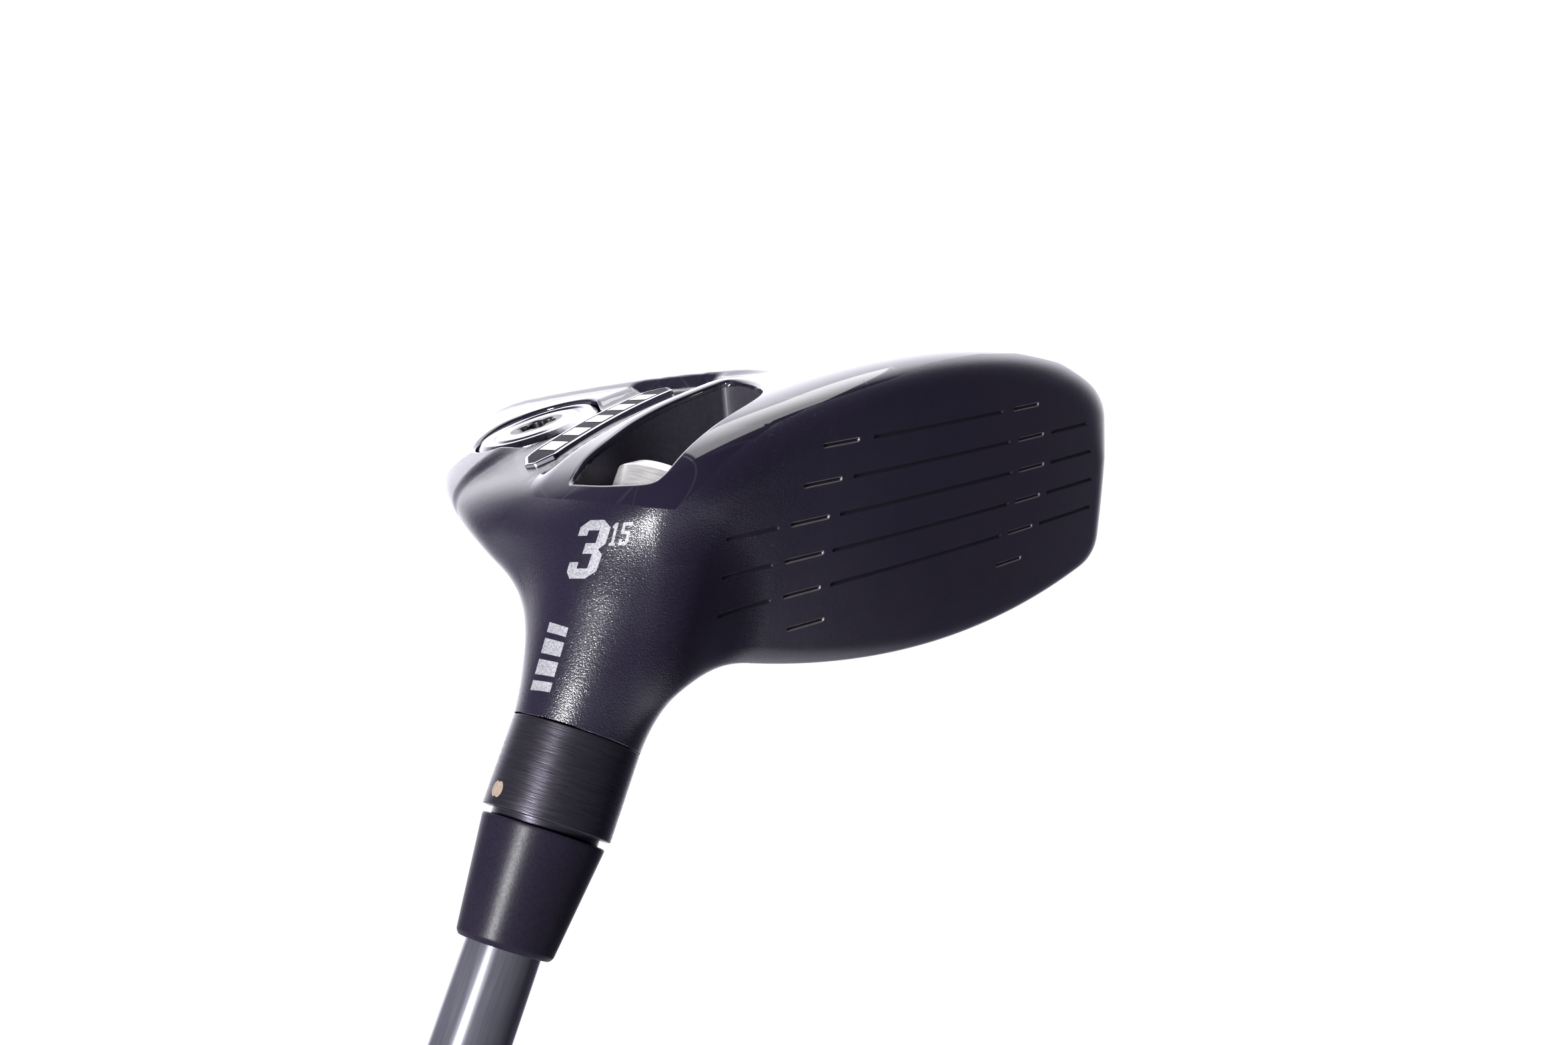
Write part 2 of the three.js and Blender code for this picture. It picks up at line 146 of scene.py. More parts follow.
def outline_distance(loop: Array, xy: Array) -> Array:
    """Signed distance from plan points to a closed loop, negative inside.

    Args:
        loop: the loop's vertices in order.
        xy: points to measure.

    Returns:
        One distance per point; far from the loop, only a lower bound of it.
    """
    low, high = loop.min(0) - 2.5, loop.max(0) + 2.5
    beyond = np.maximum(low - xy, xy - high).max(1)
    if np.any(beyond > 0):
        out = beyond + 2.5
        out[beyond <= 0] = outline_distance(loop, xy[beyond <= 0])
        return out
    a, b = loop, np.roll(loop, -1, 0)
    best = np.full(len(xy), 1e9)
    crossings = np.zeros(len(xy), int)
    for p, q in zip(a, b):
        edge = q - p
        rel = xy - p
        t = np.clip(rel @ edge / max(edge @ edge, 1e-12), 0, 1)
        best = np.minimum(best, np.hypot(*(rel - t[:, None] * edge).T))
        cuts = (p[1] > xy[:, 1]) != (q[1] > xy[:, 1])
        with np.errstate(divide="ignore", invalid="ignore"):
            x_at = p[0] + (xy[:, 1] - p[1]) / (q[1] - p[1]) * edge[0]
        crossings += cuts & (xy[:, 0] < x_at)
    return np.where(crossings % 2 == 1, -best, best)


# ------------------------------------------------------------------ head form


@dataclass(frozen=True)
class HeadForm:
    """The head's outer skin as an implicit form in the head frame (x toe, y back, z sole)."""

    lie: float = LIE
    loft: float = math.radians(15)
    hosel_radius: float = 7.3
    face_x: float = 50.4
    face_y: float = -11.6
    face_z: float = 17.8
    bulge: float = 420.0
    roll: float = 360.0
    sole_top: float = 40.09
    sole_x: float = 53.8
    sole_y: float = -5.0
    sole_rx: float = 124.1
    sole_ry: float = 462.0
    crown_low: float = -2.5
    crown_x: float = 64.0
    crown_y: float = -12.7
    crown_rx: float = 154.6
    crown_ry: float = 109.0
    heel_lift: float = 14.85
    plan_x: float = 54.42
    plan_y: float = 22.7
    plan_r: float = 49.33
    plan_waves: Knots = ((4.39, -1.453), (2.63, 0.432), (1.735, 1.617))
    neck_blend: float = 12.36
    neck_blend_drop: float = 0.167
    neck_taper: float = 0.007
    neck_back: float = 0.0021
    neck_end: float = 24.0
    middle_x: float = 54.0
    keel_side: float = 36.6
    keel_rise: float = 0.55
    rear_step: float = 24.6
    front_step: float = 10.6
    valley_depth: float = 1.15
    groove_y: float = 12.9
    groove_depth: float = 0.45
    relief_scale: float = 1.0

    @property
    def axis(self) -> Array:
        """Shaft axis, pointing into the head."""
        return np.array([math.cos(self.lie), 0.0, math.sin(self.lie)])

    def face_at(self, x: Array, z: Array) -> Array:
        """Height of the striking surface over its plan.

        Args:
            x: distances towards the toe.
            z: heights towards the sole.

        Returns:
            One y value per point.
        """
        rise = z - self.face_z
        roll = rise**2 / (2 * self.roll) / math.cos(self.loft) ** 3
        bulge = (x - self.face_x) ** 2 / (2 * self.bulge)
        return self.face_y - math.tan(self.loft) * rise + roll + bulge

    def crown_at(self, x: Array, y: Array) -> Array:
        """Height of the crown over its plan.

        Args:
            x: distances towards the toe.
            y: distances towards the back.

        Returns:
            One z value per point.
        """
        tail = 1.07 * (np.maximum(y + 12.7, 0) / 55) ** 4
        lift = self.heel_lift * (np.maximum(35 - x, 0) / 35) ** 2 * np.clip((y - 5) / 40, 0, 1.5)
        dome = (x - self.crown_x) ** 2 / (2 * self.crown_rx) + (y - self.crown_y) ** 2 / (2 * self.crown_ry)
        return self.crown_low + dome - tail + lift

    def relief(self, x: Array, y: Array) -> Array:
        """Raised keel and stepped side valleys of the sole, in millimetres above its base.

        Args:
            x: distances towards the toe.
            y: distances towards the back.

        Returns:
            One height per point.
        """
        u = np.minimum(x, 2 * self.middle_x - x)
        keel = smooth_step((u - self.keel_side + 0.09 * (y - 9)) / 0.8)
        crest = self.rear_step + 0.03 * np.maximum(20 - u, 0) ** 2
        rear = smooth_step((y - crest) / 1.7)
        front = smooth_step((self.front_step - y) / 1.6)
        valley = (1 - rear) * (1 - front) * (1 - keel)
        groove = np.exp(-(((y - self.groove_y) / 0.55) ** 2)) * (1 - keel) * smooth_step((u - 8) / 3)
        lead = smooth_step((y - 4.5) / 4.5) * smooth_step((u - 7.5) / 3.5)
        height = self.keel_rise * keel - self.valley_depth * valley - self.groove_depth * groove
        return self.relief_scale * lead * height

    def sole(self, q: Array) -> Array:
        """Field of the sole surface with its relief.

        Args:
            q: points, one per row.

        Returns:
            One value per point, negative inside.
        """
        x, y, z = q[..., 0], q[..., 1], q[..., 2]
        drop = (x - self.sole_x) ** 2 / (2 * self.sole_rx) + (y - self.sole_y) ** 2 / (2 * self.sole_ry)
        return (z - self.sole_top + drop - self.relief(x, y)) * 0.95

    def body(self, q: Array) -> Array:
        """Field of the head without its hosel.

        Args:
            q: points, one per row.

        Returns:
            One value per point, negative inside.
        """
        x, y, z = q[..., 0], q[..., 1], q[..., 2]
        face = (self.face_at(x, z) - y) * math.cos(self.loft)
        crown = (self.crown_at(x, y) - z) * 0.97
        dx, dy = x - self.plan_x, y - self.plan_y
        angle = np.arctan2(dy, dx)
        plan_r = self.plan_r
        for turn, (size, phase) in enumerate(self.plan_waves, 1):
            plan_r = plan_r + size * np.cos(turn * (angle - phase))
        plan = (np.hypot(dx, dy) - plan_r) * 0.95
        around = smooth_max(smooth_max(plan, self.sole(q), 8.0), crown, 3.6)
        face_blend = 2.5 + 3.5 * np.clip((z - 18) / 14, 0, 1)
        return smooth_max(around, face, face_blend)

    def neck(self, q: Array) -> tuple[Array, Array]:
        """Field of the hosel tube, and the height of each point along the shaft axis.

        Args:
            q: points, one per row.

        Returns:
            The field, and the height of each point.
        """
        axis = self.axis
        h = q @ axis
        d = q - h[..., None] * axis
        rho = np.linalg.norm(d, axis=-1)
        hh = np.clip(h, 0, 28)
        back = 0.5 + 0.5 * np.clip(d[..., 1] / np.maximum(rho, 1), -1, 1)
        grow = -(self.neck_taper * (1 - back) + self.neck_back * back**2) * hh**3 / (hh + 8)
        return smooth_max((rho - self.hosel_radius - grow) * 0.85, h - self.neck_end, 12.0), h

    def field(self, q: Array) -> Array:
        """Distance-like field of the whole head, negative inside.

        Args:
            q: points, one per row.

        Returns:
            One value per point.
        """
        neck, h = self.neck(q)
        k = np.maximum(self.neck_blend - self.neck_blend_drop * np.clip(h, 0, 30), 1.0)
        joined = smooth_min(self.body(q), neck, k)
        return smooth_max(joined, self.sole(q), 9.0)

    def normal(self, q: Array) -> Array:
        """Outward unit normals at points near the skin."""
        return unit(gradient(self.field, q))

    def settle(self, q: Array, level: float = 0.0, rounds: int = 4) -> Array:
        """Moves points along the gradient until they lie on the skin or on a level below it.

        Args:
            q: points near the skin.
            level: value of the field to reach.
            rounds: how many steps to take.

        Returns:
            The moved points.
        """
        for _ in range(rounds):
            g = gradient(self.field, q)
            q = q - g * ((self.field(q) - level) / np.maximum((g * g).sum(1), 1e-9))[:, None]
        return q

    def drop(self, xy: Array, top: float = 48.0, low: float = 18.0) -> Array:
        """Sole-side skin points straight above plan points.

        Args:
            xy: plan positions, one per row.
            top: a height outside the sole.
            low: a height inside the head.

        Returns:
            The points on the skin.
        """
        hi, lo = np.full(len(xy), top), np.full(len(xy), low)
        for _ in range(34):
            mid = (hi + lo) / 2
            inside = self.field(np.column_stack([xy, mid])) < 0
            lo, hi = np.where(inside, mid, lo), np.where(inside, hi, mid)
        return np.column_stack([xy, (hi + lo) / 2])


@dataclass
class Skin:
    """A triangle mesh of the head's skin that can be split along curves."""

    points: Array
    triangles: Array

    @classmethod
    def of(cls, form: HeadForm, low: Sequence[float], high: Sequence[float], step: float) -> "Skin":
        """Meshes a form's zero level with surface nets.

        Args:
            form: the implicit form.
            low: lowest corner of the sampled box.
            high: highest corner of the sampled box.
            step: cell size.

        Returns:
            The skin, with its points settled onto the form.
        """
        axes = [np.arange(a, b, step) for a, b in zip(low, high)]
        shape = tuple(len(a) for a in axes)
        values = np.empty(shape, np.float32)
        grid_yz = np.stack(np.meshgrid(axes[1], axes[2], indexing="ij"), -1)
        for i, x in enumerate(axes[0]):
            q = np.concatenate([np.full(grid_yz.shape[:2] + (1,), x), grid_yz], -1)
            values[i] = form.field(q)
        inside = values < 0
        total = np.zeros(tuple(n - 1 for n in shape) + (3,), np.float32)
        hits = np.zeros(tuple(n - 1 for n in shape), np.float32)
        corners = [(a, b, c) for a in (0, 1) for b in (0, 1) for c in (0, 1)]

        def part(array: Array, offset: tuple[int, int, int]) -> Array:
            """The cells' corner values at one offset."""
            return array[tuple(slice(o, o + n - 1) for o, n in zip(offset, shape))]

        for first in corners:
            for axis in range(3):
                if first[axis]:
                    continue
                second = tuple(c + (k == axis) for k, c in enumerate(first))
                a, b = part(values, first), part(values, second)
                cross = part(inside, first) != part(inside, second)
                with np.errstate(divide="ignore", invalid="ignore"):
                    t = np.where(cross, a / (a - b), 0)
                for k in range(3):
                    along = t if k == axis else float(first[k])
                    total[..., k] += np.where(cross, along, 0)
                hits += cross
        used = hits > 0
        index = np.full(hits.shape, -1, np.int64)
        index[used] = np.arange(used.sum())
        cell = np.argwhere(used)
        points = (cell + total[used] / hits[used][:, None]) * step + np.array(low, float)
        quads = []
        for axis in range(3):
            u, v = (axis + 1) % 3, (axis + 2) % 3
            lo = [slice(None)] * 3
            hi = [slice(None)] * 3
            lo[axis], hi[axis] = slice(0, -1), slice(1, None)
            change = inside[tuple(lo)] != inside[tuple(hi)]
            at = np.argwhere(change)
            keep = (at[:, u] > 0) & (at[:, v] > 0) & (at[:, u] < shape[u] - 1) & (at[:, v] < shape[v] - 1)
            at = at[keep]
            starts_inside = inside[tuple(at.T)]
            ring = []
            for du, dv in ((1, 1), (0, 1), (0, 0), (1, 0)):
                c = at.copy()
                c[:, u] -= du
                c[:, v] -= dv
                ring.append(index[tuple(c.T)])
            quad = np.stack(ring, 1)
            quad[~starts_inside] = quad[~starts_inside][:, ::-1]
            quads.append(quad)
        quad = np.vstack(quads)
        points = form.settle(points)
        d02 = np.linalg.norm(points[quad[:, 0]] - points[quad[:, 2]], axis=1)
        d13 = np.linalg.norm(points[quad[:, 1]] - points[quad[:, 3]], axis=1)
        short = (d02 <= d13)[:, None]
        first = np.where(short, quad[:, [0, 1, 2]], quad[:, [0, 1, 3]])
        second = np.where(short, quad[:, [0, 2, 3]], quad[:, [1, 2, 3]])
        return cls(points, np.vstack([first, second]))

    def split(self, form: HeadForm, cut: Field, snap: float = 0.14) -> None:
        """Adds an edge line to the skin wherever a second field crosses it.

        Args:
            form: the form that the skin lies on.
            cut: the second field; the new line is its zero on the skin.
            snap: points nearer than this to the line are moved onto it.
        """
        g = cut(self.points)
        near = np.abs(g) < snap
        self.points[near] = self._onto(form, cut, self.points[near])
        g[near] = 0
        tri = self.triangles
        side = np.sign(g).astype(int)
        mixed = (side[tri].min(1) < 0) & (side[tri].max(1) > 0)
        keep = tri[~mixed]
        made: dict[tuple[int, int], int] = {}
        starts: list[Array] = []
        out: list[tuple[int, int, int]] = []
        base = len(self.points)

        def middle(i: int, j: int) -> int:
            """Index of the point where edge i-j meets the line.

            Args:
                i: one end of the edge.
                j: its other end.

            Returns:
                The index.
            """
            key = (i, j) if i < j else (j, i)
            if key not in made:
                made[key] = base + len(starts)
                t = g[i] / (g[i] - g[j])
                starts.append(self.points[i] * (1 - t) + self.points[j] * t)
            return made[key]

        for a, b, c in tri[mixed]:
            while side[a] and side[b] * side[c] <= 0:
                a, b, c = b, c, a
            if side[a]:
                m, n = middle(a, b), middle(c, a)
                out += [(a, m, n), (m, b, c), (m, c, n)]
            else:
                m = middle(b, c)
                out += [(a, b, m), (a, m, c)]
        if starts:
            fresh = self._onto(form, cut, np.array(starts))
            self.points = np.vstack([self.points, fresh])
        self.triangles = np.vstack([keep, np.array(out, int).reshape(-1, 3)])

    @staticmethod
    def _onto(form: HeadForm, cut: Field, q: Array) -> Array:
        """Points moved onto both the skin and the zero of a second field.

        Args:
            form: the form that the skin lies on.
            cut: the second field.
            q: points near both.

        Returns:
            The moved points.
        """
        if not len(q):
            return q
        for _ in range(5):
            n = gradient(form.field, q)
            q = q - n * (form.field(q) / np.maximum((n * n).sum(1), 1e-9))[:, None]
            n = unit(n)
            d = gradient(cut, q)
            d = d - n * (d * n).sum(1)[:, None]
            move = d * (cut(q) / np.maximum((d * d).sum(1), 1e-3))[:, None]
            size = np.linalg.norm(move, axis=1, keepdims=True)
            q = q - move * np.minimum(1, 0.5 / np.maximum(size, 1e-9))
        return q

    def centres(self) -> Array:
        """Middle point of every triangle."""
        return self.points[self.triangles].mean(1)

    def take(self, wanted: Array) -> "Skin":
        """A skin of only the wanted triangles, with unused points left out.

        Args:
            wanted: whether each triangle is kept.

        Returns:
            The smaller skin.
        """
        tri = self.triangles[wanted]
        used, flat = np.unique(tri, return_inverse=True)
        return Skin(self.points[used], flat.reshape(-1, 3))


# ------------------------------------------------------------------ mesh making


@dataclass(frozen=True)
class Place:
    """A frame that a piece is drawn in: its origin and axes in world millimetres."""

    origin: Array
    axes: Array

    def world(self, q: Array) -> Array:
        """World position in millimetres of local points."""
        return self.origin + q @ self.axes

    def turn(self, v: Array) -> Array:
        """World direction of local directions."""
        return v @ self.axes

    def within(self, origin: Sequence[float], up: Sequence[float], side: Sequence[float]) -> "Place":
        """A new place whose z axis is up and whose x axis is as near side as it can be.

        Args:
            origin: its origin in this place.
            up: direction of its z axis.
            side: direction that its x axis leans to.

        Returns:
            The new place.
        """
        z = unit(np.array(up, float))
        x = unit(np.array(side, float) - z * (np.array(side, float) @ z))
        y = np.cross(z, x)
        return Place(self.world(np.array(origin, float)), self.turn(np.array([x, y, z])))


SEAM_HEIGHT = 1044.0
SIN_LIE, COS_LIE = math.sin(LIE), math.cos(LIE)
CLUB = Place(np.zeros(3), np.eye(3))
HEAD = Place(
    np.array([0, 0, SEAM_HEIGHT]), np.array([[SIN_LIE, 0, COS_LIE], [0, 1, 0], [-COS_LIE, 0, SIN_LIE]])
)


class Shell:
    """Vertices, faces and finishes of one piece before it becomes an object."""

    def __init__(self) -> None:
        """Starts empty."""
        self.points: list[Array] = []
        self.normals: list[Array] = []
        self.faces: list[tuple[int, ...]] = []
        self.finish: list[int] = []
        self.count = 0

    def add(
        self, points: Array, faces: Sequence[Sequence[int]], finish: int | Sequence[int] = 0,
        normals: Array | None = None,
    ) -> int:
        """Adds a part of the surface.

        Args:
            points: its vertices.
            faces: its faces, as indices into those vertices.
            finish: material index, for all faces or for each.
            normals: the vertices' normals; they are found from the faces if left out.

        Returns:
            The index of its first vertex in the whole.
        """
        points = np.asarray(points, float)
        faces = [tuple(int(i) for i in f) for f in faces]
        if normals is None:
            normals = face_weighted(points, faces)
        start = self.count
        self.points.append(points)
        self.normals.append(np.asarray(normals, float))
        self.faces += [tuple(i + start for i in f) for f in faces]
        self.finish += [finish] * len(faces) if isinstance(finish, int) else list(finish)
        self.count += len(points)
        return start

    def merge(self, other: "Shell", finish: int | None = None) -> None:
        """Adds all of another shell, with its own finishes or one for all."""
        marks = other.finish if finish is None else [finish] * len(other.faces)
        self.add(np.vstack(other.points), other.faces, marks, np.vstack(other.normals))

    def build(self, name: str, place: Place, finishes: Sequence[bpy.types.Material]) -> bpy.types.Object:
        """Makes the object.

        Args:
            name: object name.
            place: the frame that the points are in.
            finishes: its materials in order of their index.

        Returns:
            The object, linked to the scene.
        """
        points = place.world(np.vstack(self.points)) * MM
        normals = unit(place.turn(np.vstack(self.normals)))
        mesh = bpy.data.meshes.new(name)
        mesh.from_pydata(points.tolist(), [], self.faces)
        for material in finishes:
            mesh.materials.append(material)
        mesh.polygons.foreach_set("material_index", self.finish)
        mesh.polygons.foreach_set("use_smooth", [True] * len(self.faces))
        mesh.update()
        mesh.normals_split_custom_set_from_vertices(normals.tolist())
        obj = bpy.data.objects.new(name, mesh)
        bpy.context.scene.collection.objects.link(obj)
        return obj


def face_weighted(points: Array, faces: Sequence[Sequence[int]]) -> Array:
    """Vertex normals weighted by the area of the faces round them.

    Args:
        points: the vertices.
        faces: the faces, as indices into the vertices.

    Returns:
        One unit normal per vertex.
    """
    total = np.zeros_like(points)
    for size in sorted({len(f) for f in faces}):
        f = np.array([g for g in faces if len(g) == size])
        a, b, c = points[f[:, 0]], points[f[:, 1]], points[f[:, 2]]
        area = np.cross(b - a, c - a)
        if size == 4:
            area = area + np.cross(c - a, points[f[:, 3]] - a)
        for k in range(size):
            np.add.at(total, f[:, k], area)
    return unit(total)


def bands(rings: int, count: int, closed: bool = True, flip: bool = False) -> list[tuple[int, ...]]:
    """Quads between the rings of a lofted strip.

    Args:
        rings: how many rings there are.
        count: how many points each ring has.
        closed: joins the last point of each ring to its first.
        flip: turns the faces over.

    Returns:
        The quads, ring by ring.
    """
    quads = []
    for i in range(rings - 1):
        for j in range(count if closed else count - 1):
            a, b = i * count + j, i * count + (j + 1) % count
            quads.append((b, a, a + count, b + count) if flip else (a, b, b + count, a + count))
    return quads


def ring_stack(radius: Array, angle: Array, height: Array) -> Array:
    """Points of rings about z.

    Args:
        radius: one row for each ring and one column for each angle.
        angle: the angles.
        height: the rings' heights.

    Returns:
        The points, ring by ring.
    """
    level = np.repeat(np.asarray(height)[:, None], len(angle), 1)
    return np.stack([radius * np.cos(angle), radius * np.sin(angle), level], -1).reshape(-1, 3)


def facing(points: Array, normals: Array, triangles: Array) -> Array:
    """Triangles turned to agree with their vertices' normals.

    Args:
        points: the vertices.
        normals: the vertices' normals.
        triangles: the triangles.

    Returns:
        The triangles, some of them turned over.
    """
    a, b, c = (points[triangles[:, k]] for k in range(3))
    turn = (np.cross(b - a, c - a) * normals[triangles[:, 0]]).sum(1) < 0
    return np.where(turn[:, None], triangles[:, ::-1], triangles)


def sampled(corners: Array, share: Callable[[Array], int]) -> Array:
    """Points along the sides of a polygon.

    Args:
        corners: the polygon's corners.
        share: how many points a side gets, from its vector.

    Returns:
        The points in order.
    """
    points = []
    for a, b in zip(corners, np.roll(corners, -1, 0)):
        points += [a + (b - a) * t for t in np.linspace(0, 1, share(b - a), endpoint=False)]
    return np.array(points)


def rounded(profile: Sequence[Pair], radius: float, steps: int = 3) -> Array:
    """A profile polyline with its inner corners turned into small arcs.

    Args:
        profile: (radius, height) pairs.
        radius: size of the arcs, less on short edges.
        steps: segments of each arc.

    Returns:
        The new polyline.
    """
    p = np.array(profile, float)
    out = [p[0]]
    for before, here, after in zip(p[:-2], p[1:-1], p[2:]):
        to, away = before - here, after - here
        room = min(np.linalg.norm(to), np.linalg.norm(away)) * 0.45
        r = min(radius, room)
        start, end = here + unit(to) * r, here + unit(away) * r
        for t in np.linspace(0, 1, steps + 1):
            out.append(start * (1 - t) ** 2 + here * 2 * t * (1 - t) + end * t**2)
    out.append(p[-1])
    return np.array(out)


def turned(
    profile: Sequence[Pair], bevel: float = 0.15, segments: int = 96, finish: int = 0,
    lobes: Callable[[Array, Array], Array] | None = None, closed: bool = False,
) -> Shell:
    """Turns a profile about z.

    Args:
        profile: (radius, height) pairs, going up on the outside.
        bevel: corner radius.
        segments: sides round the axis.
        finish: material index.
        lobes: optional factor on the radius, from profile points and angles.
        closed: joins the last ring to the first.

    Returns:
        The turned shell.
    """
    line = list(profile) + ([profile[0], profile[1]] if closed else [])
    p = rounded(line, bevel) if bevel > 0 else np.array(line, float)
    if closed:
        p = p[1:-1]
    angle = np.linspace(0, 2 * math.pi, segments, endpoint=False)
    radius = np.repeat(p[:, :1], segments, 1)
    if lobes is not None:
        radius = radius * lobes(p, angle)
    points = ring_stack(radius, angle, p[:, 1])
    faces = []
    rows = len(p)
    for i in range(rows if closed else rows - 1):
        n = (i + 1) % rows
        for j in range(segments):
            k = (j + 1) % segments
            quad = (i * segments + j, i * segments + k, n * segments + k, n * segments + j)
            if p[i, 0] < 1e-6:
                faces.append((i * segments, quad[2], quad[3]))
            elif p[n, 0] < 1e-6:
                faces.append((quad[0], quad[1], n * segments))
            else:
                faces.append(quad)
    shell = Shell()
    shell.add(points, faces, finish)
    return shell


def tube(
    inner: float, outer: float, low: float, high: float, bevel: float = 0.12, segments: int = 96
) -> Shell:
    """A plain ring about z.

    Args:
        inner: inner radius.
        outer: outer radius.
        low: lower height.
        high: upper height.
        bevel: corner radius.
        segments: sides round the axis.

    Returns:
        The ring.
    """
    profile = [(inner, low), (outer, low), (outer, high), (inner, high)]
    return turned(profile, bevel, segments, closed=True)


def thread(radius: float, start: float, end: float, pitch: float, depth: float, finish: int = 0) -> Shell:
    """A screw thread's surface between two heights on the z axis.

    Args:
        radius: outer radius.
        start: lower height.
        end: upper height.
        pitch: rise in each turn.
        depth: depth of the thread.
        finish: material index.

    Returns:
        The threaded surface, open at both ends.
    """
    segments, rows = 64, max(int((end - start) / pitch * 12), 8)
    angle = np.linspace(0, 2 * math.pi, segments, endpoint=False)
    z = np.linspace(start, end, rows)
    phase = (z[:, None] / pitch - angle / (2 * math.pi)) % 1
    fade = np.clip(np.minimum(z - start, end - z) / (pitch * 0.8), 0, 1)[:, None]
    cut = depth * (0.5 - 0.5 * np.cos(2 * math.pi * phase)) ** 1.3 * fade
    r = radius - cut - depth * 0.3 * (1 - fade)
    shell = Shell()
    shell.add(ring_stack(r, angle, z), bands(rows, segments), finish)
    return shell


def star(size: float, depth: float, count: int = 6) -> Callable[[Array, Array], Array]:
    """Radius factor of a lobed socket for profile points inside a radius.

    Args:
        size: radius that the lobes reach inwards from.
        depth: depth of the lobes, as a share of the radius.
        count: how many lobes there are.

    Returns:
        A factor on the radius, from profile points and angles.
    """

    def factor(p: Array, angle: Array) -> Array:
        """One factor for each profile point and angle."""
        inner = (p[:, :1] < size * 1.02).astype(float)
        return 1 - inner * depth * (0.5 - 0.5 * np.cos(count * angle)) ** 1.5

    return factor


def fill(outline: Array, holes: Sequence[Array], spacing: float) -> tuple[Array, Array]:
    """Triangulates a flat region with an even grid of points inside it.

    Args:
        outline: the region's outline.
        holes: outlines of its holes.
        spacing: distance between the inner points.

    Returns:
        Vertices, with those of the outline and the holes first, and triangles.
    """
    loops = [outline, *holes]
    low, high = outline.min(0), outline.max(0)
    gx, gy = np.meshgrid(np.arange(low[0], high[0], spacing), np.arange(low[1], high[1], spacing * 0.87))
    gx = gx + (np.arange(len(gx)) % 2)[:, None] * spacing / 2
    grid = np.column_stack([gx.ravel(), gy.ravel()])
    keep = outline_distance(outline, grid) < -spacing * 0.45
    for hole in holes:
        near = np.all((grid > hole.min(0) - spacing) & (grid < hole.max(0) + spacing), 1) & keep
        keep[near] = outline_distance(hole, grid[near]) > spacing * 0.35
    points = np.vstack([*loops, grid[keep]])
    edges, start = [], 0
    for loop in loops:
        n = len(loop)
        edges += [(start + i, start + (i + 1) % n) for i in range(n)]
        start += n
    made = delaunay_2d_cdt([Vector(p) for p in points], edges, [], 0, 1e-7)
    xy = np.array([tuple(v) for v in made[0]])
    back = np.array([src[0] if src else -1 for src in made[3]])
    place = np.full(len(points), -1)
    place[back[back >= 0]] = np.arange(len(xy))[back >= 0]
    tri = np.array([tuple(f) for f in made[2]])
    centre = xy[tri].mean(1)
    inside = outline_distance(outline, centre) < 0
    for hole in holes:
        near = np.all((centre > hole.min(0)) & (centre < hole.max(0)), 1) & inside
        inside[near] = outline_distance(hole, centre[near]) > 0
    tri = tri[inside]
    if len(xy) == len(points) and np.all(place >= 0):
        order = np.empty(len(xy), int)
        order[place] = np.arange(len(points))
        return points, order[tri]
    return xy, tri


def chains(triangles: Array, wanted: Array) -> list[list[int]]:
    """Ordered loops or runs of the border edges between wanted vertices.

    Args:
        triangles: the mesh's triangles.
        wanted: whether each vertex may be part of the border sought.

    Returns:
        Vertex runs in the triangles' own direction; a closed run repeats its first vertex.
    """
    edges = np.vstack([triangles[:, [0, 1]], triangles[:, [1, 2]], triangles[:, [2, 0]]])
    present = set(map(tuple, edges.tolist()))
    border = {a: b for a, b in present if (b, a) not in present and wanted[a] and wanted[b]}
    ends = set(border.values())
    runs = []
    for first in [a for a in border if a not in ends] + list(border):
        if first not in border:
            continue
        run = [first]
        while run[-1] in border:
            run.append(border.pop(run[-1]))
        runs.append(run)
    return runs


@dataclass(frozen=True)
class Edge:
    """How a piece of skin turns down into a seam or an opening."""

    cut: Field
    outside: int
    radius: float
    depth: float
    axis: Triple | None = None
    floor: float | None = None
    finish: int = 0

    def dress(self, shell: Shell, skin: Skin, form: HeadForm, level: float = 0.0) -> list[Array]:
        """Adds the rolled edge and the wall below it.

        Args:
            shell: where the strips go.
            skin: the piece of skin, already cut along the edge.
            form: the form that the skin lies on.
            level: the value of the cut field on this edge.

        Returns:
            The lowest ring of each run, in order.
        """
        near = np.abs(self.cut(skin.points) - level) < 2e-3
        lowest = []
        for run in chains(skin.triangles, near):
            closed = run[0] == run[-1]
            p = skin.points[run[:-1] if closed else run]
            n = form.normal(p)
            t = gradient(self.cut, p) * self.outside
            up = n if self.axis is None else np.tile(self.axis, (len(p), 1))
            t = unit(t - up * (t * up).sum(1)[:, None])
            if closed:
                for _ in range(2 if self.axis is None else 6):
                    t = unit(t + np.roll(t, 1, 0) + np.roll(t, -1, 0))
            rings, normals = [p], [n]
            span = np.arccos(np.clip((n * t).sum(1), -1, 1))[:, None]
            for a in (0.3, 0.55, 0.8, 1.0):
                d = (np.sin((1 - a) * span) * n + np.sin(a * span) * t) / np.sin(span)
                rings.append(p + (d - n) * self.radius)
                normals.append(d)
            drop = np.full(len(p), self.depth)
            if self.floor is not None:
                drop = (rings[-1] * up).sum(1) - self.floor
            rings.append(rings[-1] - up * drop[:, None])
            normals.append(t)
            quads = bands(len(rings), len(p), closed, True)
            shell.add(np.vstack(rings), quads, self.finish, np.vstack(normals))
            lowest.append(rings[-1])
        return lowest


# ------------------------------------------------------------------ head


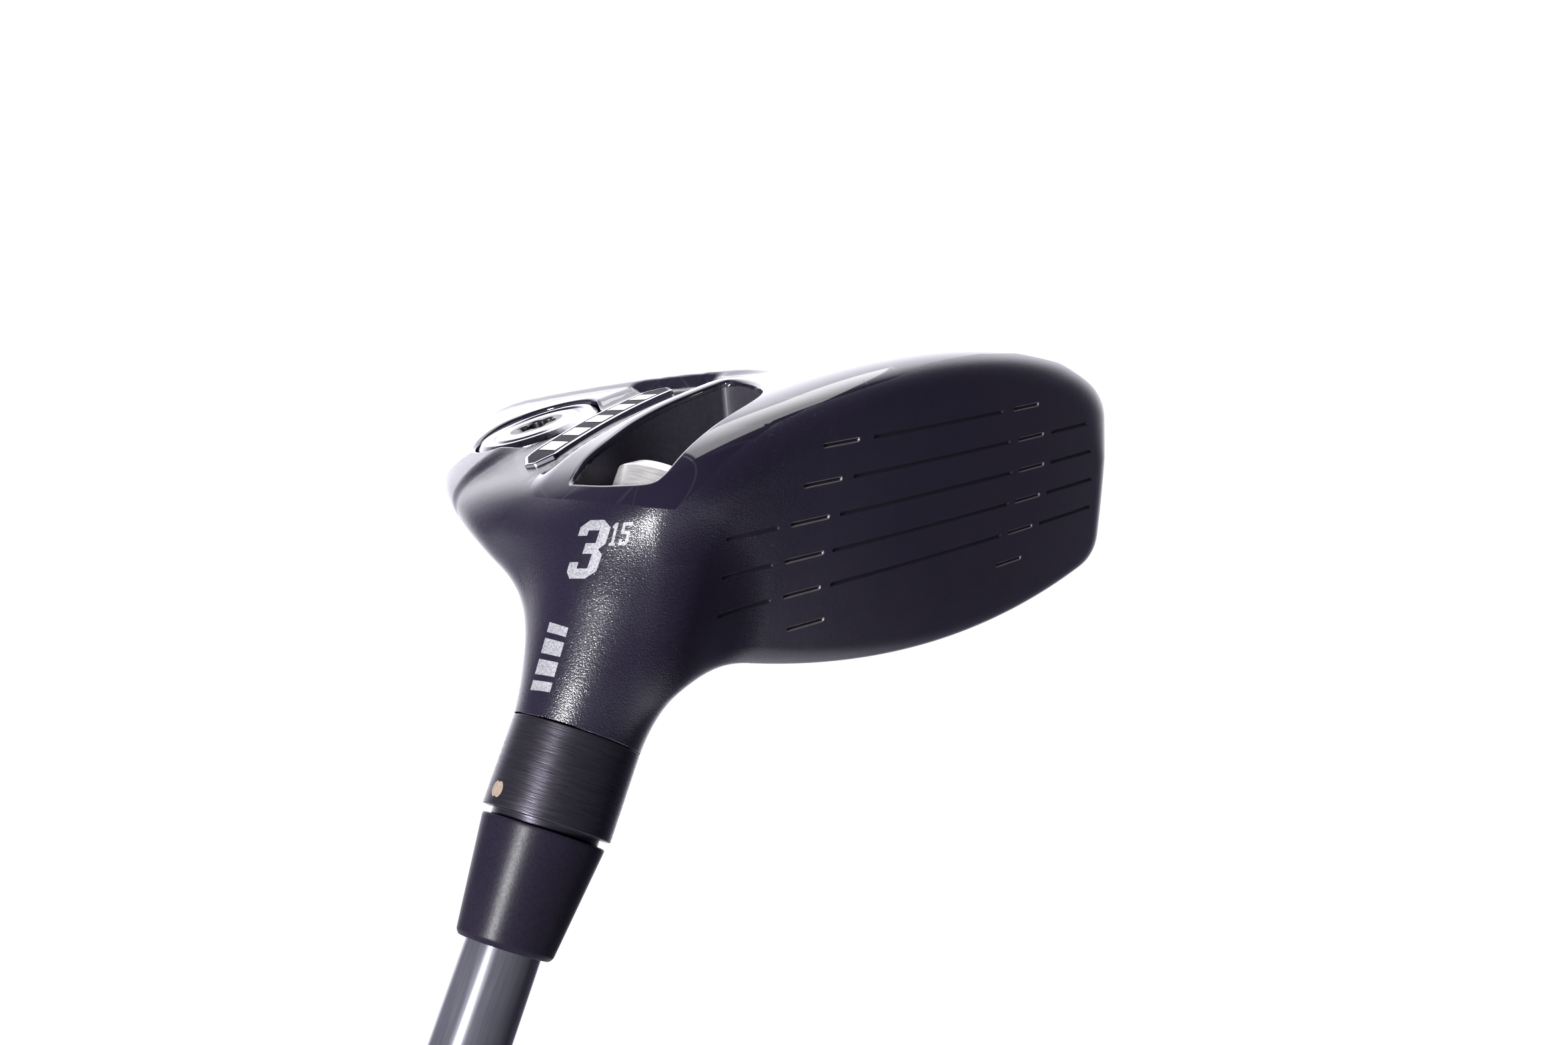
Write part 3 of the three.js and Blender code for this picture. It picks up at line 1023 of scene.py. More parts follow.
@dataclass(frozen=True)
class Port:
    """One weight port in the sole."""

    x: float
    y: float
    radius: float = 9.0
    depth: float = 3.1
    bore: float = 5.25
    bore_depth: float = 9.2

    def place(self, form: HeadForm) -> Place:
        """Frame with its origin on the outer sole and z out along the port.

        Args:
            form: the head's form.

        Returns:
            The frame.
        """
        bare = HeadForm(relief_scale=0.0)
        origin = bare.drop(np.array([[self.x, self.y]]))[0]
        tilt_x = (self.x - form.sole_x) / form.sole_rx
        tilt_y = (self.y - form.sole_y) / form.sole_ry
        return HEAD.within(origin, (tilt_x, tilt_y, 1.0), (1.0, 0, 0))

    def local(self, form: HeadForm) -> tuple[Array, Array]:
        """Origin and axis in the head frame."""
        at = self.place(form)
        return (at.origin - HEAD.origin) @ HEAD.axes.T, at.axes[2] @ HEAD.axes.T


@dataclass
class Head:
    """The cast head: skin, face, crown panel, screw pocket and weight ports."""

    form: HeadForm = field(default_factory=HeadForm)
    step: float = 0.55
    seam: float = 0.16
    roll: float = 0.12
    pocket_floor: float = 24.2
    counterbore: float = 5.85
    seat: float = 24.9
    ports: tuple[Port, Port] = (Port(21.5, 30.0), Port(86.5, 30.0))
    pocket_knots: Knots = (
        (7.4, 5.6), (6.1, 5.2), (6.0, 4.2), (6.7, -0.6), (8.4, -5.6), (10, -7.3), (13, -7.6),
        (18.8, -7.5), (25.4, -6.8), (29, -5.0), (31.5, -1.8), (33.4, 1.8), (34.5, 5.2), (34.2, 7.4),
        (32.4, 8.0), (29.2, 8.2), (23.5, 8.5), (18.5, 8.1), (13.7, 7.0), (9, 6.2),
    )
    face_knots: Knots = (
        (14, 8.6), (20, 6.4), (30, 4.2), (45, 2.2), (62, 1.2), (80, 2), (91, 4.4), (95, 9.5), (93.4, 16),
        (90, 22.5), (84.5, 27.5), (77, 31.6), (66, 33.4), (54, 33.6), (42, 32.8), (31, 31.0), (22, 28.0),
        (16, 24.4), (13, 19.5), (12.4, 13.5),
    )
    crown_knots: Knots = (
        (22, 1), (40, -1.5), (60, -2.5), (80, -1), (92, 3), (97, 13), (94, 29), (85, 45), (71, 55),
        (55, 58.5), (39, 55), (27, 44), (19, 30), (18, 14),
    )
    gloss_line: Knots = (
        (-180, 30.5), (-173, 31), (-169.5, 29.5), (-167.2, 26.2), (-165.5, 25.6), (-158.6, 25.5),
        (-150.7, 25.0), (-145.2, 24.2),
        (-142.2, 26.4), (-139.7, 28.6), (-136.9, 30.2), (-132.5, 32.0), (-127.2, 33.2), (-121.2, 34.0),
        (-114.4, 34.7), (-106.8, 35.4), (-98.6, 36.3), (-91, 36.5), (-80, 36.5), (-66, 35.8), (-52, 33.5),
        (-42, 29), (-34, 23), (-26, 15), (-15, 10.5), (0, 9), (90, 8.5), (120, 9), (140, 14), (152, 24),
        (164, 29.5),
    )
    slot_rows: int = 6
    slot_pitch: float = 4.506
    slot_width: float = 0.62
    dash_inner: tuple[float, ...] = (15.5, 17.8, 19.2, 19.4, 19.1, 17.6)
    dash_outer: tuple[float, ...] = (21.7, 24.2, 25.6, 25.9, 25.4, 24.0)
    groove_half: tuple[float, ...] = (13.1, 15.9, 17.5, 18.0, 17.5, 0.0)
    side_start: tuple[float, ...] = (0.0, 26.1, 27.3, 27.6, 27.2, 0.0)
    toe_end: tuple[float, ...] = (0.0, 36.4, 39.4, 41.2, 42.4, 0.0)
    heel_end: tuple[float, ...] = (0.0, 0.0, 35.4, 35.9, 36.4, 0.0)

    def __post_init__(self) -> None:
        """Draws the outlines once."""
        self.pocket_loop = closed_curve(self.pocket_knots, 260)
        self.face_loop = closed_curve(self.face_knots, 200)
        self.crown_loop = closed_curve(self.crown_knots, 200)

    def gloss_cut(self, q: Array) -> Array:
        """Positive on the polished sole, negative on the satin face, hosel and crown.

        Args:
            q: points, one per row.

        Returns:
            Height beyond the gloss line, one per point.
        """
        angle = np.degrees(np.arctan2(q[:, 1] - 22.0, q[:, 0] - 54.0))
        knots = np.array(self.gloss_line)
        return q[:, 2] - np.interp(angle, knots[:, 0], knots[:, 1], period=360)

    def pocket_cut(self, q: Array) -> Array:
        """Negative inside the screw pocket's outline on the sole."""
        return np.maximum(outline_distance(self.pocket_loop, q[:, :2]), 20 - q[:, 2])

    def face_cut(self, q: Array) -> Array:
        """Negative inside the face's outline."""
        flat = outline_distance(self.face_loop, q[:, [0, 2]])
        return np.maximum(flat, q[:, 1] - 8)

    def crown_cut(self, q: Array) -> Array:
        """Negative inside the crown panel's outline."""
        flat = outline_distance(self.crown_loop, q[:, :2])
        return np.maximum(flat, q[:, 2] - 20)

    def port_cut(self, port: Port) -> Field:
        """Field that is negative inside a weight port's rim.

        Args:
            port: the weight port.

        Returns:
            The field.
        """
        origin, axis = port.local(self.form)

        def cut(q: Array) -> Array:
            """Distance beyond the rim.

            Args:
                q: points, one per row.

            Returns:
                One distance per point.
            """
            rel = q - origin
            along = rel @ axis
            out = np.linalg.norm(rel - along[:, None] * axis, axis=1) - port.radius
            return np.maximum(out, 20 - q[:, 2])

        return cut

    def hosel_cut(self, q: Array) -> Array:
        """Positive on the head's side of the hosel end."""
        return q @ self.form.axis - 0.16

    def split_skin(self) -> Skin:
        """Meshes the skin and cuts it along every seam, rim and finish line.

        Returns:
            The whole skin.
        """
        form = self.form
        skin = Skin.of(form, (-9.5, -18, -5.5), (108.5, 70, 42.5), self.step)
        skin.split(form, self.hosel_cut)
        skin.split(form, self.gloss_cut)
        skin.split(form, self.pocket_cut)
        for port in self.ports:
            skin.split(form, self.port_cut(port))
        skin.split(form, self.face_cut)
        for side in (-self.seam, self.seam):
            skin.split(form, lambda q, s=side: self.crown_cut(q) - s)
        return skin

    def stadium(self, start: float, end: float, row: int) -> Array:
        """Outline of one score slot in the face's plan (x, z), counter-clockwise.

        Args:
            start: x of one end.
            end: x of the other end.
            row: row number, from the sole down.

        Returns:
            The outline.
        """
        z = self.form.face_z + (2.5 - row) * self.slot_pitch * math.cos(self.form.loft)
        r = self.slot_width / 2
        a, b = min(start, end) + r, max(start, end) - r
        turn = np.linspace(-math.pi / 2, math.pi / 2, 9)
        right = np.column_stack([b + r * np.cos(turn), z + r * np.sin(turn)])
        left = np.column_stack([a - r * np.cos(turn), z - r * np.sin(turn)])
        count = max(int((b - a) / 0.7), 2)
        xs = np.linspace(a, b, count + 1)[1:-1]
        low = np.column_stack([xs, np.full(len(xs), z - r)])
        high = np.column_stack([xs[::-1], np.full(len(xs), z + r)])
        return np.vstack([low, right, high, left])

    def slots(self) -> list[tuple[Array, bool]]:
        """Outlines of the score slots, and whether each one is a short bright dash.

        Returns:
            The outline and kind of each slot.
        """
        x0, out = self.form.face_x, []
        for row in range(self.slot_rows):
            inner, outer = self.dash_inner[row], self.dash_outer[row]
            out.append((self.stadium(x0 - outer, x0 - inner, row), True))
            out.append((self.stadium(x0 + inner, x0 + outer, row), True))
            half = self.groove_half[row]
            if half:
                out.append((self.stadium(x0 - half, x0 + half, row), False))
            if self.toe_end[row]:
                out.append((self.stadium(x0 + self.side_start[row], x0 + self.toe_end[row], row), False))
            if self.heel_end[row]:
                out.append((self.stadium(x0 - self.heel_end[row], x0 - self.side_start[row], row), False))
        return out

    def on_face(self, xz: Array) -> Array:
        """Skin points of the striking side over (x, z) plan points.

        Args:
            xz: plan points, one per row.

        Returns:
            The points on the skin.
        """
        lo, hi = np.full(len(xz), -19.0), np.full(len(xz), 4.0)
        for _ in range(32):
            mid = (lo + hi) / 2
            inside = self.form.field(np.column_stack([xz[:, 0], mid, xz[:, 1]])) < 0
            hi, lo = np.where(inside, mid, hi), np.where(inside, lo, mid)
        return np.column_stack([xz[:, 0], (lo + hi) / 2, xz[:, 1]])

    def face_shell(self, skin: Skin) -> Shell:
        """The face with its cut slots, sharing its border with the skin round it.

        Args:
            skin: the head's skin, cut along its seams.

        Returns:
            The face.
        """
        inner = skin.take(self.face_cut(skin.centres()) < 0)
        run = max(chains(inner.triangles, np.ones(len(inner.points), bool)), key=len)
        border = inner.points[run[:-1]]
        slots = self.slots()
        flat, tri = fill(border[:, [0, 2]], [s for s, _ in slots], 0.9)
        points = self.on_face(flat)
        points[: len(border)] = border
        shell = Shell()
        normals = self.form.normal(points)
        shell.add(points, facing(points, normals, tri), 0, normals)
        for outline, bright in slots:
            self.cut_slot(shell, outline, bright)
        return shell

    def cut_slot(self, shell: Shell, outline: Array, bright: bool) -> None:
        """Adds the trough of one slot below its outline.

        Args:
            shell: where the trough goes.
            outline: the slot's outline in the face's plan.
            bright: whether it is a short bright dash.
        """
        n = len(outline)
        rise = np.roll(outline, -1, 0) - np.roll(outline, 1, 0)
        into = unit(np.column_stack([-rise[:, 1], rise[:, 0]]))
        centre = outline + into * self.slot_width * 0.5
        deep = 0.34 if bright else 0.26
        rows = [(0.0, 0.0, 0.25), (0.07, 0.05, 0.8), (0.13, 0.16, 1.1), (0.22, deep, 0.5), (0.31, deep, 0.0)]
        points, normals = [], []
        for inset, depth, lean in rows:
            flat = centre if inset > 0.3 else outline + into * inset
            on = self.on_face(flat)
            up = self.form.normal(on)
            side = np.column_stack([into[:, 0], np.zeros(n), into[:, 1]])
            side = unit(side - up * (side * up).sum(1)[:, None])
            points.append(on - up * depth)
            normals.append(unit(up * math.cos(lean) + side * math.sin(lean)))
        finish = np.repeat([2, 2, 3, 3] if bright else [1] * 4, n)
        shell.add(np.vstack(points), bands(len(rows), n), finish.tolist(), np.vstack(normals))

    def skin_shell(self, skin: Skin) -> Shell:
        """The cast skin: satin above the gloss line, polished below it, with all rims turned in.

        Args:
            skin: the head's skin, cut along its seams.

        Returns:
            The cast skin.
        """
        form, centre = self.form, skin.centres()
        keep = (self.hosel_cut(centre) > 0) & (self.pocket_cut(centre) > 0) & (self.face_cut(centre) > 0)
        keep &= self.crown_cut(centre) > self.seam
        for port in self.ports:
            keep &= self.port_cut(port)(centre) > 0
        part = skin.take(keep)
        shell = Shell()
        finish = (self.gloss_cut(part.centres()) > 0).astype(int)
        shell.add(part.points, part.triangles, finish.tolist(), form.normal(part.points))
        Edge(self.crown_cut, -1, self.roll, 0.6).dress(shell, part, form, self.seam)
        pocket = Edge(self.pocket_cut, -1, 0.55, 0.4, (0.0, 0.0, 1.0), None, 1)
        pocket.dress(shell, part, form)
        for port in self.ports:
            origin, axis = port.local(form)
            rim = Edge(self.port_cut(port), -1, 0.45, 0.0, tuple(axis), float(origin @ axis) - port.depth, 1)
            rim.dress(shell, part, form)
        end = Edge(self.hosel_cut, -1, 0.09, 0.0, tuple(form.axis), 0.06)
        end.dress(shell, part, form)
        return shell

    def crown_shell(self, skin: Skin) -> Shell:
        """The bonded crown panel with its turned-in edge.

        Args:
            skin: the head's skin, cut along its seams.

        Returns:
            The panel.
        """
        part = skin.take(self.crown_cut(skin.centres()) < -self.seam)
        shell = Shell()
        shell.add(part.points, part.triangles, 0, self.form.normal(part.points))
        Edge(self.crown_cut, 1, self.roll, 0.6).dress(shell, part, self.form, -self.seam)
        return shell

    def pocket_shell(self, skin: Skin) -> Shell:
        """Walls, floor and screw seat of the pocket.

        Args:
            skin: the head's skin, cut along its seams.

        Returns:
            The lining of the pocket.
        """
        form = self.form
        part = skin.take((self.pocket_cut(skin.centres()) > 0) & (np.abs(skin.centres()[:, 0] - 20) < 22))
        lining = Shell()
        wall = Edge(self.pocket_cut, -1, 0.55, 0.0, (0.0, 0.0, 1.0), self.pocket_floor + 0.9)
        low = wall.dress(lining, part, form)[0]
        shell = Shell()
        top = low.copy()
        top[:, 2] = lining.points[0][len(low) * 4 : len(low) * 5, 2] - 0.3
        flat = low[:, :2]
        along = np.roll(flat, -1, 0) - np.roll(flat, 1, 0)
        inward = unit(np.column_stack([along[:, 1], -along[:, 0]]))
        if outline_distance(flat, flat[:1] + inward[:1] * 0.3)[0] > 0:
            inward = -inward
        rings = [top]
        for inset, height in ((0.0, 0.9), (0.08, 0.52), (0.3, 0.2), (0.62, 0.04), (0.9, 0.0)):
            ring = np.column_stack([flat + inward * inset, np.full(len(flat), self.pocket_floor + height)])
            rings.append(ring)
        shell.add(np.vstack(rings), bands(len(rings), len(flat), True, True))
        axis = form.axis
        angle = np.linspace(0, 2 * math.pi, 72, endpoint=False)
        across = np.array([-axis[2], 0.0, axis[0]])
        circle = np.outer(np.cos(angle), across) + np.outer(np.sin(angle), [0, 1.0, 0])

        def ring_at(radius: float, height: float) -> Array:
            """Points of a ring round the shaft axis."""
            return circle * radius + axis * height

        bore = ring_at(self.counterbore, 0.0)
        lip = bore + axis * ((self.pocket_floor - bore[:, 2]) / axis[2])[:, None]
        flat_floor, tri = fill(rings[-1][:, :2], [lip[:, :2]], 1.0)
        floor = np.column_stack([flat_floor, np.full(len(flat_floor), self.pocket_floor)])
        up = np.tile([0, 0, 1.0], (len(floor), 1))
        shell.add(floor, tri, 0, up)
        seat = bore + axis * np.minimum(self.seat, (lip @ axis) - 0.02)[:, None]
        rows = [lip, seat, ring_at(3.1, self.seat), ring_at(3.0, self.seat - 3.0)]
        for pair in zip(rows[:-1], rows[1:]):
            shell.add(np.vstack(pair), bands(2, len(angle), True, True))
        return shell

    def port_shell(self, port: Port) -> Shell:
        """Floor and bore of a weight port, in the port's own frame.

        Args:
            port: the weight port.

        Returns:
            The lining of the port.
        """
        shell = Shell()
        low, r = -port.depth, port.radius - 0.45
        bevel = port.bore + 0.3
        profile = [(r + 0.5, low), (bevel, low), (port.bore, low - 0.35), (port.bore, -port.bore_depth)]
        shell.merge(turned(profile + [(0.0, -port.bore_depth)], 0.1, 72))
        return shell


# ------------------------------------------------------------------ finishes


class Value:
    """A shader socket that takes part in arithmetic."""

    def __init__(self, graph: "Tree", socket: bpy.types.NodeSocket) -> None:
        """Wraps a socket of a graph."""
        self.graph = graph
        self.socket = socket

    def _with(self, operation: str, *others: "Value | float", clamp: bool = False) -> "Value":
        """Adds a Math node on this value and others.

        Args:
            operation: the node's operation.
            others: its other inputs.
            clamp: holds the result between 0 and 1.

        Returns:
            The result.
        """
        inputs = {str(i): v for i, v in enumerate((self, *others))}
        node = self.graph.node("ShaderNodeMath", {"operation": operation, "use_clamp": clamp}, inputs)
        return Value(self.graph, node.outputs[0])

    def __add__(self, other: "Value | float") -> "Value":
        """Sum."""
        return self._with("ADD", other)

    __radd__ = __add__

    def __mul__(self, other: "Value | float") -> "Value":
        """Product."""
        return self._with("MULTIPLY", other)

    __rmul__ = __mul__

    def __sub__(self, other: "Value | float") -> "Value":
        """Difference."""
        return self._with("SUBTRACT", other)

    def __rsub__(self, other: float) -> "Value":
        """Difference from a number."""
        return self._with("MULTIPLY", -1.0) + other

    def above(self, level: float) -> "Value":
        """1 above a level, 0 below it."""
        return self._with("GREATER_THAN", level)

    def clamped(self) -> "Value":
        """Held between 0 and 1."""
        return self._with("ADD", 0.0, clamp=True)

    def between(self, low: float, high: float) -> "Value":
        """0 at low, 1 at high, and clamped."""
        return ((self - low) * (1 / (high - low))).clamped()


class Tree:
    """A node tree, with one way to add a node."""

    def __init__(self, tree: bpy.types.NodeTree) -> None:
        """Empties a tree and takes it over."""
        self.tree = tree
        tree.nodes.clear()

    def node(self, kind: str, settings: dict[str, object], inputs: dict[str, object]) -> bpy.types.Node:
        """Adds a node.

        Args:
            kind: its type.
            settings: attributes, or a ramp's stops, set before the inputs.
            inputs: a value, socket or Value for each input, by name or number.

        Returns:
            The node.
        """
        made = self.tree.nodes.new(kind)
        for key, value in settings.items():
            if key == "stops":
                self._stops(made.color_ramp, value)
            else:
                setattr(made, key, value)
        for key, value in inputs.items():
            target = made.inputs[int(key)] if key.isdigit() else made.inputs[key]
            source = value.socket if isinstance(value, Value) else value
            if isinstance(source, bpy.types.NodeSocket):
                self.tree.links.new(source, target)
            else:
                target.default_value = source
        return made

    @staticmethod
    def _stops(ramp: bpy.types.ColorRamp, stops: Sequence[tuple[float, Colour]]) -> None:
        """Sets a ramp's stops.

        Args:
            ramp: a new ramp.
            stops: positions and colours in rising order.
        """
        ramp.elements[0].position, ramp.elements[-1].position = stops[0][0], stops[-1][0]
        for position, _ in stops[1:-1]:
            ramp.elements.new(position)
        for element, (_, colour) in zip(ramp.elements, stops):
            element.color = (*colour, 1)

class Graph(Tree):
    """A material's node tree."""

    def __init__(self, name: str) -> None:
        """Starts a material with a Principled shader.

        Args:
            name: the material's name.
        """
        self.material = bpy.data.materials.new(name)
        self.material.use_nodes = True
        super().__init__(self.material.node_tree)
        self.shader = self.node("ShaderNodeBsdfPrincipled", {}, {})
        out = self.node("ShaderNodeOutputMaterial", {}, {})
        self.tree.links.new(self.shader.outputs[0], out.inputs[0])
        coords = self.node("ShaderNodeTexCoord", {}, {})
        self.space = self.scaled(coords.outputs["Object"], (1000.0, 1000.0, 1000.0))

    def scaled(self, vector: bpy.types.NodeSocket, factor: Sequence[float]) -> bpy.types.NodeSocket:
        """A vector times three factors."""
        node = self.node("ShaderNodeVectorMath", {"operation": "MULTIPLY"}, {"0": vector, "1": factor})
        return node.outputs[0]

    def noise(self, scale: float, detail: float = 2.0, stretch: Sequence[float] = (1, 1, 1)) -> Value:
        """Noise over the surface, with its scale in features per millimetre.

        Args:
            scale: features per millimetre.
            detail: octaves of finer noise.
            stretch: factor on the scale along each axis.

        Returns:
            Values about 0.5.
        """
        place = self.scaled(self.space, stretch)
        inputs = {"Vector": place, "Scale": scale, "Detail": detail, "Roughness": 0.55}
        return Value(self, self.node("ShaderNodeTexNoise", {}, inputs).outputs[0])

    def axis(self, index: int) -> Value:
        """One coordinate in millimetres."""
        node = self.node("ShaderNodeSeparateXYZ", {}, {"0": self.space})
        return Value(self, node.outputs[index])

    def angle(self) -> Value:
        """Angle about the shaft axis in turns, -0.5 to 0.5."""
        y, x = self.axis(1), self.axis(0)
        return y._with("ARCTAN2", x) * (0.5 / math.pi)

    def scratches(self, width: float, scale: float, turn: float) -> Value:
        """Fine straight lines, 1 on a line, at a given turn about z.

        Args:
            width: width of a line, as a share of a cell.
            scale: cells per millimetre.
            turn: angle about z in radians.

        Returns:
            1 on a line and 0 between.
        """
        spun = self.node(
            "ShaderNodeVectorRotate", {"rotation_type": "Z_AXIS"}, {"Vector": self.space, "Angle": turn}
        ).outputs[0]
        long = self.scaled(spun, (0.035, 1.0, 0.25))
        warp = {"Vector": long, "Scale": scale, "Randomness": 1.0}
        cell = self.node("ShaderNodeTexVoronoi", {"feature": "DISTANCE_TO_EDGE"}, warp)
        return 1.0 - Value(self, cell.outputs[0]).between(0.0, width)

    def blend(self, factor: Value | float, a: Sequence[float], b: Sequence[float]) -> bpy.types.NodeSocket:
        """A colour between two.

        Args:
            factor: 0 for the first and 1 for the second.
            a: the first colour.
            b: the second colour.

        Returns:
            The colour's socket.
        """
        inputs = {"0": factor, "6": (*a, 1.0), "7": (*b, 1.0)}
        node = self.node("ShaderNodeMix", {"data_type": "RGBA"}, inputs)
        return node.outputs[2]

    def bump(self, height: Value, distance: float, strength: float = 1.0) -> None:
        """Feeds a height in millimetres to the shader's normal.

        Args:
            height: the height.
            distance: millimetres that a height of 1 stands for.
            strength: share of the effect.
        """
        inputs = {"Height": height, "Distance": distance * MM, "Strength": strength}
        node = self.node("ShaderNodeBump", {}, inputs)
        self.tree.links.new(node.outputs[0], self.shader.inputs["Normal"])

    def feed(self, **inputs: object) -> None:
        """Sets or links inputs of the shader; an underscore in a name stands for a space."""
        for key, value in inputs.items():
            target = self.shader.inputs[key.replace("_", " ")]
            source = value.socket if isinstance(value, Value) else value
            if isinstance(source, bpy.types.NodeSocket):
                self.tree.links.new(source, target)
            else:
                target.default_value = source



@dataclass(frozen=True)
class SatinCoat:
    """Satin black coating: bead-blasted on the hosel, turning to a smooth, faintly brushed face whose base
    colour is lifted as painted light.
    """

    name: str = "satin_black"
    dark: Colour = (0.0075, 0.006, 0.0135)
    light: Colour = (0.026, 0.0215, 0.043)
    rough: float = 0.22
    grain: float = 0.042
    face_zone: Pair = (12.0, 30.0)

    def make(self) -> bpy.types.Material:
        """Builds the material.

        Returns:
            The material.
        """
        g = Graph(self.name)
        toeward = g.axis(0) * SIN_LIE + (g.axis(2) - SEAM_HEIGHT) * COS_LIE
        face = toeward.between(*self.face_zone)
        blast = g.noise(5.2, 2.0) * 0.6 + g.noise(9.5, 1.0) * 0.4
        brush = g.noise(2.6, 3.0, (1.0, 1.0, 0.06))
        speck = g.noise(2.1, 0.0).above(0.785) * face
        cloud = g.noise(0.12, 3.0)
        grain = blast * (1.0 - face * 0.85) + brush * (face * 0.4)
        rough = self.rough + 0.1 * (blast - 0.5) + 0.08 * (cloud - 0.5) + 0.09 * face
        # Painted light: the face's share lifts its base colour and leaves the hosel darker, standing in for
        # how the key lamp and the dim surround fall on them.
        shade = (grain.between(0.3, 0.65) * 0.35 + face * 0.55 + speck * 0.9).clamped()
        g.feed(Base_Color=g.blend(shade, self.dark, self.light), Roughness=rough.clamped())
        g.feed(Specular_IOR_Level=1.0)
        g.bump(grain, self.grain)
        return g.material


@dataclass(frozen=True)
class MirrorCoat:
    """Polished black coating with a few fine scratches."""

    name: str = "polished_black"
    tint: Colour = (0.0115, 0.0095, 0.019)
    rough: float = 0.055
    wear: float = 1.0

    def make(self) -> bpy.types.Material:
        """Builds the material.

        Returns:
            The material.
        """
        g = Graph(self.name)
        patches = g.noise(0.075, 2.0).between(0.48, 0.62)
        marks = g.scratches(0.018, 0.34, 0.35) * patches + g.scratches(0.014, 0.22, 1.25) * (1.0 - patches)
        marks = (marks * self.wear).clamped()
        haze = g.noise(0.35, 3.0)
        g.feed(Base_Color=g.blend(marks * 0.5, self.tint, (0.035, 0.034, 0.04)))
        g.feed(Roughness=(self.rough + 0.03 * haze + 0.11 * marks).clamped())
        g.feed(Specular_IOR_Level=0.6, Coat_Roughness=0.03, Coat_Weight=0.5)
        g.bump(g.noise(0.12, 1.0) * 0.8 - marks * 0.2, 0.02)
        return g.material


@dataclass(frozen=True)
class BareMetal:
    """Metal with turning lines round the z axis of the piece or brushing along it."""

    name: str
    tint: Colour
    rough: float
    stretch: Triple = (0.04, 0.04, 1.0)
    lines: float = 7.0
    depth: float = 0.012
    metallic: float = 1.0
    spread: float = 0.2

    def make(self) -> bpy.types.Material:
        """Builds the material.

        Returns:
            The material.
        """
        g = Graph(self.name)
        fine = g.noise(self.lines, 3.0, self.stretch)
        stain = g.noise(0.5, 2.0)
        deep = tuple(c * 0.72 for c in self.tint)
        g.feed(Base_Color=g.blend(fine.between(0.25, 0.75), deep, self.tint), Metallic=self.metallic)
        g.feed(Roughness=(self.rough + self.spread * (fine - 0.5) + 0.1 * (stain - 0.5)).clamped())
        g.bump(fine, self.depth)
        return g.material


@dataclass(frozen=True)
class MouldedSkin:
    """Moulded rubber or plastic with a fine grain."""

    name: str
    dark: Colour
    light: Colour
    rough: float
    scale: float = 2.2
    depth: float = 0.03
    specular: float = 0.45

    def make(self) -> bpy.types.Material:
        """Builds the material.

        Returns:
            The material.
        """
        g = Graph(self.name)
        grain, broad = g.noise(self.scale, 3.0), g.noise(0.05, 3.0)
        shade = (grain * 0.6 + broad * 0.4).between(0.35, 0.65)
        g.feed(Base_Color=g.blend(shade, self.dark, self.light))
        g.feed(Roughness=(self.rough + 0.12 * (grain - 0.5) + 0.08 * (broad - 0.5)).clamped())
        g.feed(Specular_IOR_Level=self.specular)
        g.bump(grain, self.depth)
        return g.material


@dataclass(frozen=True)
class ShaftPaint:
    """Cool grey lacquer over wound graphite, with faint winding bands."""

    name: str = "graphite_lacquer"
    dark: Colour = (0.075, 0.075, 0.095)
    light: Colour = (0.11, 0.11, 0.135)

    def make(self) -> bpy.types.Material:
        """Builds the material.

        Returns:
            The material.
        """
        g = Graph(self.name)
        fibre = g.noise(2.8, 2.0, (1.0, 1.0, 0.05))
        band = g.noise(0.09, 2.0, (0.2, 0.2, 1.0))
        g.feed(Base_Color=g.blend((fibre * 0.5 + band * 0.5).between(0.35, 0.65), self.dark, self.light))
        g.feed(Metallic=0.35, Roughness=(0.24 + 0.06 * (fibre - 0.5)).clamped())
        g.feed(Coat_Weight=1.0, Coat_Roughness=0.05)
        g.bump(band, 0.01)
        return g.material


@dataclass(frozen=True)
class CrownLaminate:
    """Woven composite seen faintly under a satin clear coat."""

    name: str = "crown_laminate"
    dark: Colour = (0.008, 0.008, 0.01)
    light: Colour = (0.022, 0.022, 0.025)
    tows: float = 3.1

    def make(self) -> bpy.types.Material:
        """Builds the material.

        Returns:
            The material.
        """
        g = Graph(self.name)
        x, y = g.axis(0) * SIN_LIE + g.axis(2) * COS_LIE, g.axis(1)
        warp = (x * self.tows)._with("SINE")
        weft = (y * self.tows)._with("SINE")
        twill = ((x + y) * (self.tows / 2))._with("SINE").between(-0.2, 0.2)
        weave = warp * twill + weft * (1.0 - twill)
        fine = g.noise(4.0, 2.0)
        g.feed(Base_Color=g.blend(weave.between(-1.0, 1.0), self.dark, self.light))
        g.feed(Roughness=(0.3 + 0.05 * weave + 0.06 * (fine - 0.5)).clamped())
        g.feed(Coat_Weight=0.8, Coat_Roughness=0.12)
        g.bump(weave * 0.5 + fine * 0.1, 0.01)
        return g.material


@dataclass(frozen=True)
class StencilPaint:
    """Thin pale metallic paint with worn grains."""

    name: str = "silver_paint"
    dark: Colour = (0.15, 0.15, 0.165)
    light: Colour = (0.32, 0.32, 0.35)

    def make(self) -> bpy.types.Material:
        """Builds the material.

        Returns:
            The material.
        """
        g = Graph(self.name)
        grain = g.noise(4.6, 2.0)
        g.feed(Base_Color=g.blend(grain.between(0.3, 0.62), self.dark, self.light), Metallic=0.25)
        g.feed(Roughness=(0.5 + 0.2 * (grain - 0.5)).clamped())
        g.bump(grain, 0.02)
        return g.material


# ------------------------------------------------------------------ other assemblies


class Track(Enum):
    """The CAD bodies that pieces ride on."""

    SHAFT = "shaft_assembly"
    HEAD = "head"
    SCREW = "screw"
    SCREW_CARRIER = "screw_carrier"
    HEEL = "heel_screw_weight"
    HEEL_CARRIER = "heel_carrier"
    TOE = "toe_screw_weight"
    TOE_CARRIER = "toe_carrier"


